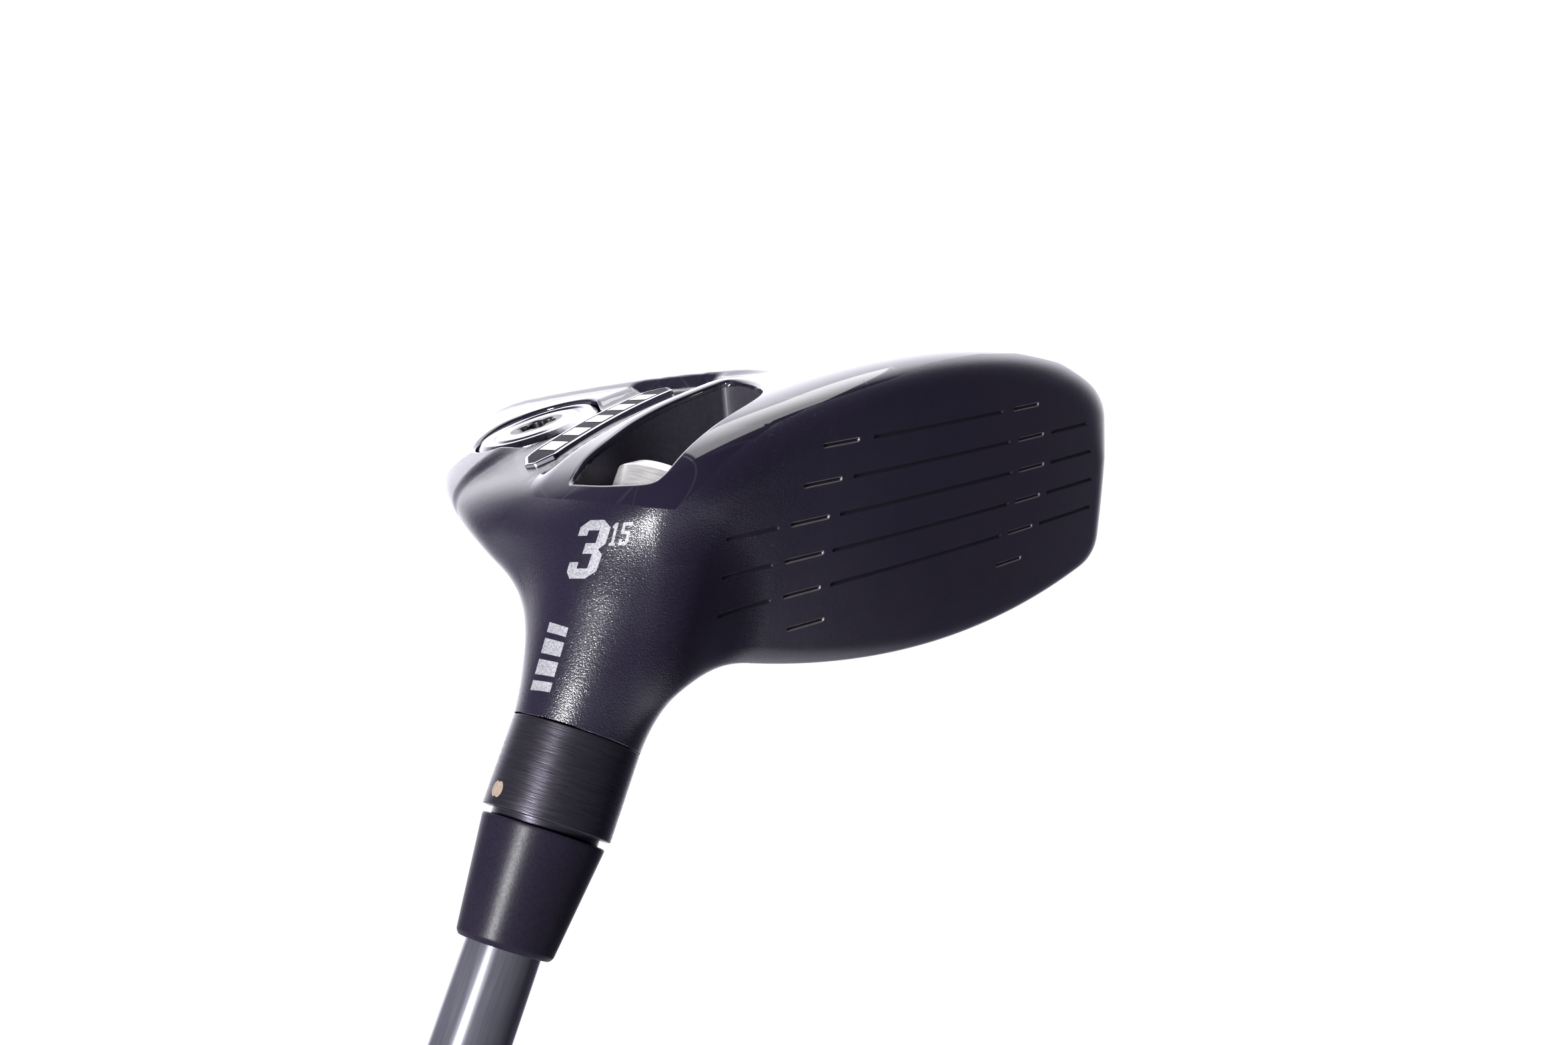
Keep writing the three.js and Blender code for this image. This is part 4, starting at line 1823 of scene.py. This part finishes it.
@dataclass(frozen=True)
class Kit:
    """Puts finished pieces into the frame."""

    finishes: dict[str, bpy.types.Material]

    def fit(
        self, shell: Shell, name: str, place: Place, looks: Sequence[str], track: Track, node: str = ""
    ) -> bpy.types.Object:
        """Builds a shell, rides it on its body and reports it.

        Args:
            shell: the piece.
            name: object name.
            place: frame of its points.
            looks: names of its finishes.
            track: the body that it moves with.
            node: the CAD node that it replaces.

        Returns:
            The object.
        """
        obj = shell.build(name, place, [self.finishes[look] for look in looks])
        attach(obj, track.value)
        if node:
            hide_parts(node)
        LOG.info("%s: %d faces on %s", name, len(shell.faces), track.value)
        return obj


@dataclass(frozen=True)
class Mark:
    """A flat painted sign laid on the head's skin between four corners."""

    corners: tuple[Triple, ...]
    shapes: tuple[Knots, ...]
    lift: float = 0.025
    step: float = 0.06

    def shell(self, form: HeadForm) -> Shell:
        """Meshes the shapes over the skin.

        Args:
            form: the head's form.

        Returns:
            The painted surface.
        """
        low_left, low_right, high_right, high_left = (np.array(c) for c in self.corners)
        shell = Shell()
        for shape in self.shapes:
            loop = sampled(np.array(shape, float), lambda side: max(int(np.linalg.norm(side) / self.step), 1))
            uv, tri = fill(loop, [], self.step * 1.5)
            u, v = uv[:, :1], uv[:, 1:]
            q = (low_left * (1 - u) + low_right * u) * (1 - v) + (high_left * (1 - u) + high_right * u) * v
            q = form.settle(q, self.lift, 8)
            n = form.normal(q)
            shell.add(q, facing(q, n, tri), 0, n)
        return shell


THREE_SHAPE = (
    (0.18, 0.0), (0.72, 0.0), (1.0, 0.13), (1.0, 0.41), (0.82, 0.5), (1.0, 0.59), (1.0, 0.87), (0.72, 1.0),
    (0.26, 1.0), (0.0, 0.88), (0.0, 0.73), (0.32, 0.73), (0.32, 0.82), (0.68, 0.82), (0.68, 0.6), (0.36, 0.6),
    (0.36, 0.42), (0.68, 0.42), (0.68, 0.17), (0.32, 0.17), (0.32, 0.28), (0.0, 0.28), (0.0, 0.12),
)
ONE_SHAPE = (
    (0.0, 0.0), (0.34, 0.0), (0.34, 0.12), (0.25, 0.12), (0.25, 1.0), (0.13, 1.0), (0.0, 0.87), (0.0, 0.76),
    (0.1, 0.76), (0.1, 0.12), (0.0, 0.12),
)
FIVE_SHAPE = (
    (0.5, 0.0), (0.9, 0.0), (1.0, 0.1), (1.0, 0.54), (0.9, 0.63), (0.65, 0.63), (0.65, 0.85), (1.0, 0.85),
    (1.0, 1.0), (0.5, 1.0), (0.5, 0.49), (0.83, 0.49), (0.83, 0.15), (0.65, 0.15), (0.65, 0.26), (0.5, 0.26),
)
BAR_ROWS = ((0.04, 0.13), (0.25, 0.2), (0.53, 0.2), (0.81, 0.13))
BAR_SHAPES = tuple(((0.06, v), (0.94, v), (0.94, v + h), (0.06, v + h)) for v, h in BAR_ROWS)


@dataclass(frozen=True)
class Marks:
    """Loft number and plain bars painted on the hosel's heel side."""

    number: Mark = Mark(
        ((0.6, 0.3, 17.5), (1.9, -3.2, 17.5), (5.1, -3.55, 23.5), (3.75, 0.0, 23.5)), (THREE_SHAPE,)
    )
    degrees: Mark = Mark(
        ((3.93, -3.75, 20.82), (5.09, -5.51, 20.82), (6.18, -5.65, 23.18), (5.06, -3.69, 23.17)),
        (ONE_SHAPE, FIVE_SHAPE),
    )
    bars: Mark = Mark(
        ((-5.12, 1.12, 5.91), (-4.73, -2.24, 5.96), (-0.95, -2.12, 12.98), (-1.26, 1.09, 13.5)), BAR_SHAPES
    )

    def make(self, kit: Kit, form: HeadForm) -> None:
        """Builds the three painted signs.

        Args:
            kit: what puts them into the frame.
            form: the head's form.
        """
        named = (("club_number", self.number), ("loft_number", self.degrees), ("hosel_bars", self.bars))
        for name, mark in named:
            kit.fit(mark.shell(form), name, HEAD, ["silver_paint"], Track.HEAD)


@dataclass(frozen=True)
class Badge:
    """Raised badge on the heel side of the sole: a dark field in a polished frame, with plain bars."""

    start: Pair = (9.2, 16.3)
    end: Pair = (34.6, 18.6)
    half_width: float = 2.75
    height: float = 0.6
    frame: float = 0.34
    field: float = 0.54
    valley: float = 1.1
    bars: int = 5

    def outline(self, inset: float) -> Array:
        """The badge's outline in its own plane, pulled in by a distance.

        Args:
            inset: the distance.

        Returns:
            The outline, evenly sampled.
        """
        length = math.dist(self.start, self.end)
        half, tip = self.half_width - inset, 1.9
        slope = 0.4 * inset
        corners = [
            (inset, -half + tip - slope), (tip + slope, -half), (length - tip - slope, -half),
            (length - inset, -half + tip + slope), (length - inset, half - tip + slope),
            (length - tip - slope, half), (tip + slope, half), (inset, half - tip + slope),
        ]
        return sampled(np.array(corners), lambda side: 44 if abs(side[0]) > 9 else 8)

    def lay(self, uv: Array, height: float) -> tuple[Array, Array]:
        """Points and up directions above the valley of the sole.

        Args:
            uv: positions in the badge's own plane.
            height: height above the valley.

        Returns:
            The points, and the up direction at each.
        """
        a, b = np.array(self.start), np.array(self.end)
        along = unit(b - a)
        across = np.array([-along[1], along[0]])
        smooth = HeadForm(relief_scale=0.0)
        on = smooth.drop(a + uv[:, :1] * along + uv[:, 1:] * across)
        up = smooth.normal(on)
        return on + up * (height - self.valley), up

    def _loft(
        self, shell: Shell, levels: Sequence[Triple], ring: Callable[[float], Array]
    ) -> None:
        """Adds a raised form, ring by ring.

        Args:
            shell: where it goes.
            levels: the ring's parameter, its height and the lean of its normals, for each ring.
            ring: a ring's plan, from its parameter.
        """
        rings, normals = [], []
        for size, height, lean in levels:
            points, up = self.lay(ring(size), height)
            side = np.roll(points, -1, 0) - np.roll(points, 1, 0)
            out = unit(np.cross(side, up))
            rings.append(points)
            normals.append(unit(up * math.cos(lean) + out * math.sin(lean)))
        shell.add(np.vstack(rings), bands(len(rings), len(rings[0])), 0, np.vstack(normals))

    def make(self, kit: Kit) -> None:
        """Builds the plate and its bars.

        Args:
            kit: what puts them into the frame.
        """
        shell, top, edge = Shell(), self.height, self.frame
        levels = (
            (0.0, -0.2, 1.2), (0.05, top - 0.15, 1.2), (0.1, top - 0.04, 0.7), (0.24, top, 0.05),
            (edge, top, -0.05), (edge + 0.05, top - 0.02, -0.8), (edge + 0.1, self.field, -0.9),
        )
        self._loft(shell, levels, self.outline)
        uv, tri = fill(self.outline(edge + 0.1), [], 0.8)
        floor, up = self.lay(uv, self.field)
        shell.add(floor, tri, 1, up)
        looks = ["badge_chrome", "badge_field"]
        kit.fit(shell, "badge_plate", HEAD, looks, Track.HEAD, "sole_badge")
        bars = Shell()
        pitch = (math.dist(self.start, self.end) - 5.0) / self.bars
        wide, tall, slant = pitch * 0.55, self.half_width - 0.95, 0.7
        for index in range(self.bars):
            x = 2.9 + pitch * index
            base = [(x, -tall), (x + wide, -tall), (x + wide + slant, tall), (x + slant, tall)]
            self._bar(bars, np.array(base))
        kit.fit(bars, "badge_bars", HEAD, ["badge_chrome"], Track.HEAD)

    def _bar(self, shell: Shell, base: Array) -> None:
        """Adds one slightly raised bar.

        Args:
            shell: where it goes.
            base: its four corners in the badge's plane.
        """
        loop, top = sampled(base, lambda side: 7), self.height
        middle = loop.mean(0)
        levels = (
            (1.0, self.field - 0.05, 1.3), (0.995, top - 0.02, 1.0), (0.97, top, 0.3), (0.94, top, 0.0),
            (0.0, top, 0.0),
        )
        self._loft(shell, levels, lambda scale: middle + (loop - middle) * scale)


@dataclass(frozen=True)
class WeightScrew:
    """Threaded sole weight with a lobed socket and a sealing ring."""

    radius: float = 8.2
    top: float = -0.55
    thick: float = 2.0
    shank: float = 4.95
    shank_length: float = 5.2
    socket: float = 2.6
    groove: Pair = (5.5, 6.9)
    groove_depth: float = 0.35
    pitch: float = 1.0
    thread_depth: float = 0.45
    seal_radii: Pair = (5.1, 7.3)
    seal_heights: Pair = (-2.95, -2.6)

    def make(self, kit: Kit, head: Head, port: Port, side: str, track: Track, carrier: Track) -> None:
        """Builds the weight, its ring and its port.

        Args:
            kit: what puts them into the frame.
            head: the head that holds the port.
            port: the weight port.
            side: heel or toe.
            track: the body that the weight moves with.
            carrier: the body that its ring moves with.
        """
        place = port.place(head.form)
        top, socket, shank = self.top, self.socket, self.shank
        low = top - self.thick
        inside, outside = self.groove
        floor = top - self.groove_depth
        outer = [
            (shank - 0.3, low), (self.radius - 0.5, low), (self.radius, low + 0.5), (self.radius, top - 0.75),
            (self.radius - 0.75, top), (outside, top), (outside - 0.3, floor), (inside + 0.4, floor),
            (inside, top), (socket + 1.0, top + 0.05),
        ]
        shell = turned(outer, 0.14, 120)
        inner = [
            (socket + 1.0, top + 0.05), (socket + 0.25, top + 0.05), (socket, top - 0.2), (socket, top - 1.9),
            (0.0, top - 2.1),
        ]
        shell.merge(turned(inner, 0.06, 120, 0, star(socket + 0.3, 0.24)), 1)
        bottom = low - self.shank_length
        shell.merge(thread(shank, bottom + 0.5, low, self.pitch, self.thread_depth))
        point = [(0.0, bottom), (shank - 0.6, bottom), (shank - 0.25, bottom + 0.5)]
        shell.merge(turned(point, 0.1, 64))
        node = f"{side}_weight"
        kit.fit(shell, f"{side}_port_weight", place, ["weight_steel", "socket_shade"], track, node)
        seal = tube(*self.seal_radii, *self.seal_heights, segments=72)
        kit.fit(seal, f"{side}_port_ring", place, ["seal_rubber"], carrier, f"{node}_seal")
        kit.fit(head.port_shell(port), f"{side}_port_bore", place, ["cast_steel"], Track.HEAD)


@dataclass(frozen=True)
class HoselFittings:
    """Sleeve, collar, clamp screw, washer and retainer, by height above the seam."""

    collar_radius: float = 7.3
    collar_length: float = 10.1
    neck_radius: float = 6.1
    neck_length: float = 0.8
    sleeve_radius: float = 5.9
    sleeve_end: float = 22.2
    shaft_bore: float = 4.35
    shaft_seat: float = 11.9
    screw_bore: float = 2.55
    dot_radius: float = 1.0
    dot_drop: float = 8.4
    dot_azimuth: float = math.radians(172)
    screw_end: float = 15.9
    screw_radius: float = 2.45
    screw_pitch: float = 1.25
    thread_depth: float = 0.32
    thread_end: float = 23.0
    head_low: float = 25.95
    head_high: float = 31.7
    head_radius: float = 5.5
    washer: tuple[float, float, float, float] = (2.75, 5.3, 25.05, 25.75)
    keeper: tuple[float, float, float, float] = (2.52, 2.9, 23.2, 24.3)

    def make(self, kit: Kit) -> None:
        """Builds the fittings.

        Args:
            kit: what puts them into the frame.
        """
        at = CLUB.within((0, 0, SEAM_HEIGHT), (0, 0, 1), (1, 0, 0))
        end, bore, collar = -self.collar_length - self.neck_length, self.shaft_bore, self.collar_radius
        sleeve, top = self.sleeve_radius, self.sleeve_end
        outside = [
            (bore, end), (self.neck_radius, end), (self.neck_radius, -self.collar_length),
            (collar, -self.collar_length), (collar, -0.02), (sleeve, -0.02), (sleeve, top - 0.6),
            (sleeve - 0.6, top), (self.screw_bore, top),
        ]
        shell = turned(outside, 0.12, 144)
        step = self.shaft_seat
        inside = [(self.screw_bore, top), (self.screw_bore, step + 0.9), (bore, step), (bore, end)]
        shell.merge(turned(inside, 0.0, 72))
        kit.fit(shell, "hosel_sleeve", at, ["turned_anodised"], Track.SHAFT, "adapter_sleeve")
        side = np.array([math.cos(self.dot_azimuth), math.sin(self.dot_azimuth), 0.0])
        dot_at = at.within(side * collar + [0, 0, -self.dot_drop], side, (0, 0, 1))
        dot = turned([(self.dot_radius, -0.5), (self.dot_radius, -0.01), (0.0, 0.03)], 0.06, 48)
        kit.fit(dot, "sleeve_dot", dot_at, ["tan_enamel"], Track.SHAFT, "index_mark")
        lining = turned([(7.1, 0.1), (6.0, 0.1), (6.0, 22.6), (3.0, 22.6), (3.0, 24.9)], 0.12, 96)
        kit.fit(lining, "hosel_bore", at, ["cast_steel"], Track.HEAD)
        self._screw(kit, at)

    def _screw(self, kit: Kit, at: Place) -> None:
        """Builds the clamp screw with its washer and retainer.

        Args:
            kit: what puts them into the frame.
            at: frame with its origin at the seam and z into the head.
        """
        low, high, wide, shank = self.head_low, self.head_high, self.head_radius, self.screw_radius
        start, end = self.screw_end + 0.4, self.thread_end
        socket_rim, socket = 2.95, 2.2
        head = [
            (shank, low), (wide - 0.2, low), (wide, low + 0.2), (wide, high - 1.25), (wide - 1.75, high),
            (socket_rim, high),
        ]
        shell = turned(head, 0.16, 120)
        hollow = [
            (socket_rim, high), (socket + 0.15, high), (socket, high - 0.15), (socket, high - 2.8),
            (0.0, high - 3.1),
        ]
        shell.merge(turned(hollow, 0.05, 120, 0, star(socket + 0.2, 0.2)), 1)
        point = [(0.0, self.screw_end), (shank - 0.55, self.screw_end), (shank - 0.2, start)]
        shell.merge(turned(point, 0.1, 64), 0)
        shell.merge(thread(shank, start, end, self.screw_pitch, self.thread_depth))
        shell.merge(turned([(shank - 0.15, end), (shank, end + 0.2), (shank, low)], 0.05, 64))
        looks = ["screw_steel", "socket_shade"]
        kit.fit(shell, "clamp_screw", at, looks, Track.SCREW, "hosel_screw")
        washer = tube(*self.washer)
        kit.fit(washer, "clamp_washer", at, ["screw_steel"], Track.SCREW_CARRIER, "screw_washer")
        keeper = tube(*self.keeper, 0.05, 72)
        kit.fit(keeper, "screw_keeper", at, ["seal_rubber"], Track.HEAD, "screw_retainer")


@dataclass(frozen=True)
class Shaft:
    """Tapered shaft with its ferrule and end stop."""

    tip_radius: float = 4.25
    butt_radius: float = 7.6
    start: float = 3.2
    taper_from: float = 150.0
    taper_to: float = 954.0
    ferrule_low: float = 1020.1
    ferrule_high: float = 1033.05

    def make(self, kit: Kit) -> None:
        """Builds the shaft, ferrule and tip stop.

        Args:
            kit: what puts them into the frame.
        """
        top = SEAM_HEIGHT + 11.5
        line = [
            (6.4, self.start), (self.butt_radius, self.start), (self.butt_radius, self.taper_from),
            (self.tip_radius, self.taper_to), (self.tip_radius, top), (3.0, top), (3.0, self.taper_to),
            (6.4, self.taper_from),
        ]
        shell = turned(line, 0.15, 96, 0, None, True)
        kit.fit(shell, "shaft_tube", CLUB, ["graphite_lacquer"], Track.SHAFT, "shaft")
        low, high = self.ferrule_low, self.ferrule_high
        line = [
            (4.32, low), (5.1, low), (5.45, low + 0.5), (6.95, high - 0.35), (6.95, high), (4.32, high),
        ]
        ferrule = turned(line, 0.2, 120, 0, None, True)
        kit.fit(ferrule, "tapered_ferrule", CLUB, ["ferrule_plastic"], Track.SHAFT, "ferrule")
        plug = [(0.0, top - 4.2), (2.7, top - 4.2), (2.92, top - 4.0), (2.92, top - 0.4), (0.0, top - 0.4)]
        kit.fit(turned(plug), "tip_stop", CLUB, ["cork_stop"], Track.SHAFT, "tip_plug")


@dataclass(frozen=True)
class Grip:
    """Rubber grip with a moulded pattern of short ribs, over its tape."""

    length: float = 267.0
    profile: Knots = (
        (0.0, 13.0), (1.2, 13.2), (60, 12.3), (120, 11.4), (190, 10.4), (262, 9.3), (266, 9.2), (267, 8.9),
    )
    rib_depth: float = 0.38
    rib_zone: Pair = (26.0, 246.0)
    ring_heights: tuple[float, ...] = (14.0, 18.0, 254.0)
    ring_depth: float = 0.35
    rib_rows: float = 3.2
    ribs_round: int = 20

    def make(self, kit: Kit) -> None:
        """Builds the grip and its cap.

        Args:
            kit: what puts it into the frame.
        """
        shell = Shell()
        ends = np.linspace(0.4, 8, 14), np.linspace(258.4, self.length, 14)
        rows = np.concatenate([ends[0], np.arange(8.4, 258, 0.55), ends[1]])
        segments = 160
        angle = np.linspace(0, 2 * math.pi, segments, endpoint=False)
        z, r = np.array(self.profile).T
        base = np.interp(rows, z, r)[:, None]
        phase = rows[:, None] / self.rib_rows
        column = angle / (2 * math.pi) * self.ribs_round + 0.5 * (np.floor(phase) % 2)
        across = np.abs((column % 1) - 0.5) * 2
        along = np.abs((phase % 1) - 0.5) * 2
        pit = smooth_step((0.62 - across) / 0.14) * smooth_step((0.5 - along) / 0.2)
        low, high = self.rib_zone
        zone = smooth_step((rows - low) / 3) * smooth_step((high - rows) / 3)
        ring = sum(np.exp(-(((rows - at) / 0.8) ** 2)) for at in self.ring_heights)
        radius = base - self.rib_depth * pit * zone[:, None] - self.ring_depth * ring[:, None]
        shell.add(ring_stack(radius, angle, rows), bands(len(rows), segments), 0)
        cap = [(0.0, 0.35), (1.3, 0.35), (1.5, 0.05), (11.6, 0.0), (12.7, 0.05), (13.0, 0.4)]
        shell.merge(turned(cap, 0.25, segments))
        mouth = [(8.9, 267.0), (8.5, 267.0), (7.95, 266.4), (7.95, 240.0)]
        shell.merge(turned(mouth, 0.2, segments))
        kit.fit(shell, "grip_sleeve", CLUB, ["grip_rubber"], Track.SHAFT, "grip")


def make_finishes() -> dict[str, bpy.types.Material]:
    """All finishes by name.

    Returns:
        The materials by the name of their finish.
    """
    coats = (
        SatinCoat(), MirrorCoat(), ShaftPaint(), CrownLaminate(), StencilPaint(),
        MouldedSkin("badge_field", (0.007, 0.006, 0.01), (0.011, 0.01, 0.015), 0.6, 2.0, 0.01, 0.1),
        BareMetal("badge_chrome", (0.5, 0.5, 0.54), 0.14, (1, 1, 1), 1.2, 0.004, 1.0, 0.06),
        BareMetal("slot_rim", (0.36, 0.33, 0.35), 0.42, (1, 1, 1), 3.0, 0.01, 0.7),
        BareMetal("slot_floor", (0.03, 0.028, 0.03), 0.45, (1, 1, 1), 3.0, 0.01, 0.4),
        BareMetal("screw_steel", (0.84, 0.82, 0.81), 0.29, (0.05, 0.05, 1.0), 7.0, 0.012, 0.7),
        BareMetal("weight_steel", (0.42, 0.42, 0.45), 0.2, (1, 1, 1), 1.5, 0.006),
        BareMetal("socket_shade", (0.1, 0.1, 0.11), 0.4, (1, 1, 1), 2.0, 0.01),
        BareMetal("turned_anodised", (0.05, 0.046, 0.062), 0.3, (0.05, 0.05, 1.0), 7.0, 0.014, 0.74, 0.24),
        BareMetal("cast_steel", (0.05, 0.047, 0.05), 0.42, (1, 1, 1), 1.6, 0.03, 0.6),
        MouldedSkin("pocket_coat", (0.022, 0.02, 0.03), (0.034, 0.031, 0.044), 0.48, 1.5, 0.02),
        MouldedSkin("groove_shade", (0.011, 0.0092, 0.018), (0.016, 0.0135, 0.025), 0.6, 3.0, 0.01, 0.3),
        MouldedSkin("seal_rubber", (0.012, 0.012, 0.012), (0.02, 0.02, 0.02), 0.7),
        MouldedSkin("ferrule_plastic", (0.009, 0.0072, 0.0145), (0.013, 0.011, 0.02), 0.34, 3.0, 0.012, 0.1),
        MouldedSkin("grip_rubber", (0.016, 0.016, 0.018), (0.03, 0.03, 0.033), 0.66, 1.2, 0.06),
        MouldedSkin("tan_enamel", (0.2, 0.15, 0.115), (0.27, 0.215, 0.17), 0.45, 2.4, 0.03),
        MouldedSkin("tape_paper", (0.5, 0.47, 0.4), (0.6, 0.57, 0.5), 0.7, 0.8, 0.03),
        MouldedSkin("cork_stop", (0.4, 0.3, 0.2), (0.55, 0.45, 0.32), 0.8, 1.0, 0.1),
    )
    return {coat.name: coat.make() for coat in coats}


# ------------------------------------------------------------------ studio


@dataclass(frozen=True)
class Studio:
    """Pale floor, soft light and the camera."""

    eye: Triple = (-105.99, -137.0, 48.49)
    right: Triple = (0.6849, -0.7245, -0.077)
    up: Triple = (0.1639, 0.0503, 0.9852)
    lens: float = 36.64
    floor_half: float = 4.0
    bright: Triple = (0.66, 0.66, 0.36)
    surround: tuple[tuple[float, Colour], ...] = (
        (0.52, (0.0052, 0.0042, 0.0098)), (0.77, (0.052, 0.048, 0.068)), (0.92, (0.93, 0.92, 1)),
    )

    def camera(self) -> bpy.types.Object:
        """Makes the scene's camera.

        Returns:
            The camera.
        """
        data = bpy.data.cameras.new("studio_camera")
        data.lens, data.sensor_width = self.lens, 36.0
        data.clip_start, data.clip_end = 0.005, 20.0
        obj = bpy.data.objects.new("studio_camera", data)
        bpy.context.scene.collection.objects.link(obj)
        right = unit(HEAD.turn(np.array(self.right)))
        back = unit(np.cross(right, HEAD.turn(np.array(self.up))))
        up = np.cross(back, right)
        eye = HEAD.world(np.array(self.eye)) * MM
        rows = np.column_stack([right, up, back, eye]).tolist() + [[0, 0, 0, 1]]
        obj.matrix_world = Matrix(rows)
        bpy.context.scene.camera = obj
        return obj

    def floor(self) -> bpy.types.Object:
        """Makes the pale floor.

        Returns:
            The floor.
        """
        mesh = bpy.data.meshes.new("studio_floor")
        signs = ((-1, -1), (1, -1), (1, 1), (-1, 1))
        corners = [(x * self.floor_half, y * self.floor_half, 0) for x, y in signs]
        mesh.from_pydata(corners, [], [(0, 1, 2, 3)])
        g = Graph("floor_paper")
        g.feed(Base_Color=g.blend(g.noise(0.004, 2.0), (0.8, 0.8, 0.8), (0.84, 0.84, 0.84)), Roughness=0.8)
        mesh.materials.append(g.material)
        obj = bpy.data.objects.new("studio_floor", mesh)
        bpy.context.scene.collection.objects.link(obj)
        return obj

    def panel(
        self, name: str, at: Sequence[float], towards: Sequence[float], size: float, power: float
    ) -> None:
        """Adds a square soft light, placed and aimed in the head frame.

        Args:
            name: its name.
            at: its position in millimetres.
            towards: the point it looks at.
            size: its side in metres.
            power: its power in watts.
        """
        data = bpy.data.lights.new(name, "AREA")
        data.shape, data.size, data.energy = "SQUARE", size, power
        obj = bpy.data.objects.new(name, data)
        bpy.context.scene.collection.objects.link(obj)
        start = Vector(HEAD.world(np.array(at, float)) * MM)
        end = Vector(HEAD.world(np.array(towards, float)) * MM)
        obj.location = start
        obj.rotation_mode = "QUATERNION"
        obj.rotation_quaternion = (end - start).to_track_quat("-Z", "Y")

    def world(self) -> None:
        """A white surround, seen dimmer by the object from the camera's side."""
        world = bpy.data.worlds.new("studio_surround")
        bpy.context.scene.world = world
        world.use_nodes = True
        tree = Tree(world.node_tree)
        coords = tree.node("ShaderNodeTexCoord", {}, {})
        bright = tuple(unit(HEAD.turn(np.array(self.bright))))
        inputs = {"0": coords.outputs["Generated"], "1": bright}
        dot = tree.node("ShaderNodeVectorMath", {"operation": "DOT_PRODUCT"}, inputs)
        side = Value(tree, dot.outputs["Value"]) * 0.5 + 0.5
        ramp = tree.node("ShaderNodeValToRGB", {"stops": self.surround}, {"0": side})
        lit = tree.node("ShaderNodeBackground", {}, {"Color": ramp.outputs[0], "Strength": 2.6})
        seen = tree.node("ShaderNodeBackground", {}, {"Color": (1, 1, 1, 1), "Strength": 1.05})
        path = tree.node("ShaderNodeLightPath", {}, {})
        inputs = {"0": path.outputs["Is Camera Ray"], "1": lit.outputs[0], "2": seen.outputs[0]}
        mix = tree.node("ShaderNodeMixShader", {}, inputs)
        tree.node("ShaderNodeOutputWorld", {}, {"0": mix.outputs[0]})

    def make(self) -> None:
        """Sets the whole studio."""
        self.camera()
        self.floor()
        self.world()
        self.panel("heel_key", (-282, -68, 66), (0, 0, 0), 0.06, 2.1)
        self.panel("overhead", (150, 60, 380), (40, 10, 20), 0.3, 0.7)
        bpy.context.scene.view_settings.view_transform = "Standard"


def main() -> None:
    """Builds every assembly in order."""
    logging.basicConfig(level=logging.INFO, format="%(name)s %(message)s")
    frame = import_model()
    Studio().make()
    kit = Kit(make_finishes())
    head = Head()
    skin = head.split_skin()
    looks = ["satin_black", "polished_black"]
    kit.fit(head.skin_shell(skin), "head_skin", HEAD, looks, Track.HEAD, "head_body")
    looks = ["satin_black", "groove_shade", "slot_rim", "slot_floor"]
    kit.fit(head.face_shell(skin), "striking_face", HEAD, looks, Track.HEAD, "face_plate")
    kit.fit(head.crown_shell(skin), "crown_panel", HEAD, ["crown_laminate"], Track.HEAD, "crown_shell")
    kit.fit(head.pocket_shell(skin), "pocket_lining", HEAD, ["pocket_coat"], Track.HEAD)
    Marks().make(kit, head.form)
    Badge().make(kit)
    WeightScrew().make(kit, head, head.ports[0], "heel", Track.HEEL, Track.HEEL_CARRIER)
    WeightScrew().make(kit, head, head.ports[1], "toe", Track.TOE, Track.TOE_CARRIER)
    HoselFittings().make(kit)
    Shaft().make(kit)
    Grip().make(kit)
    tape = frame["nodes"]["grip_tape"]
    tape.data.materials.clear()
    tape.data.materials.append(kit.finishes["tape_paper"])


if __name__ == "__main__":
    main()
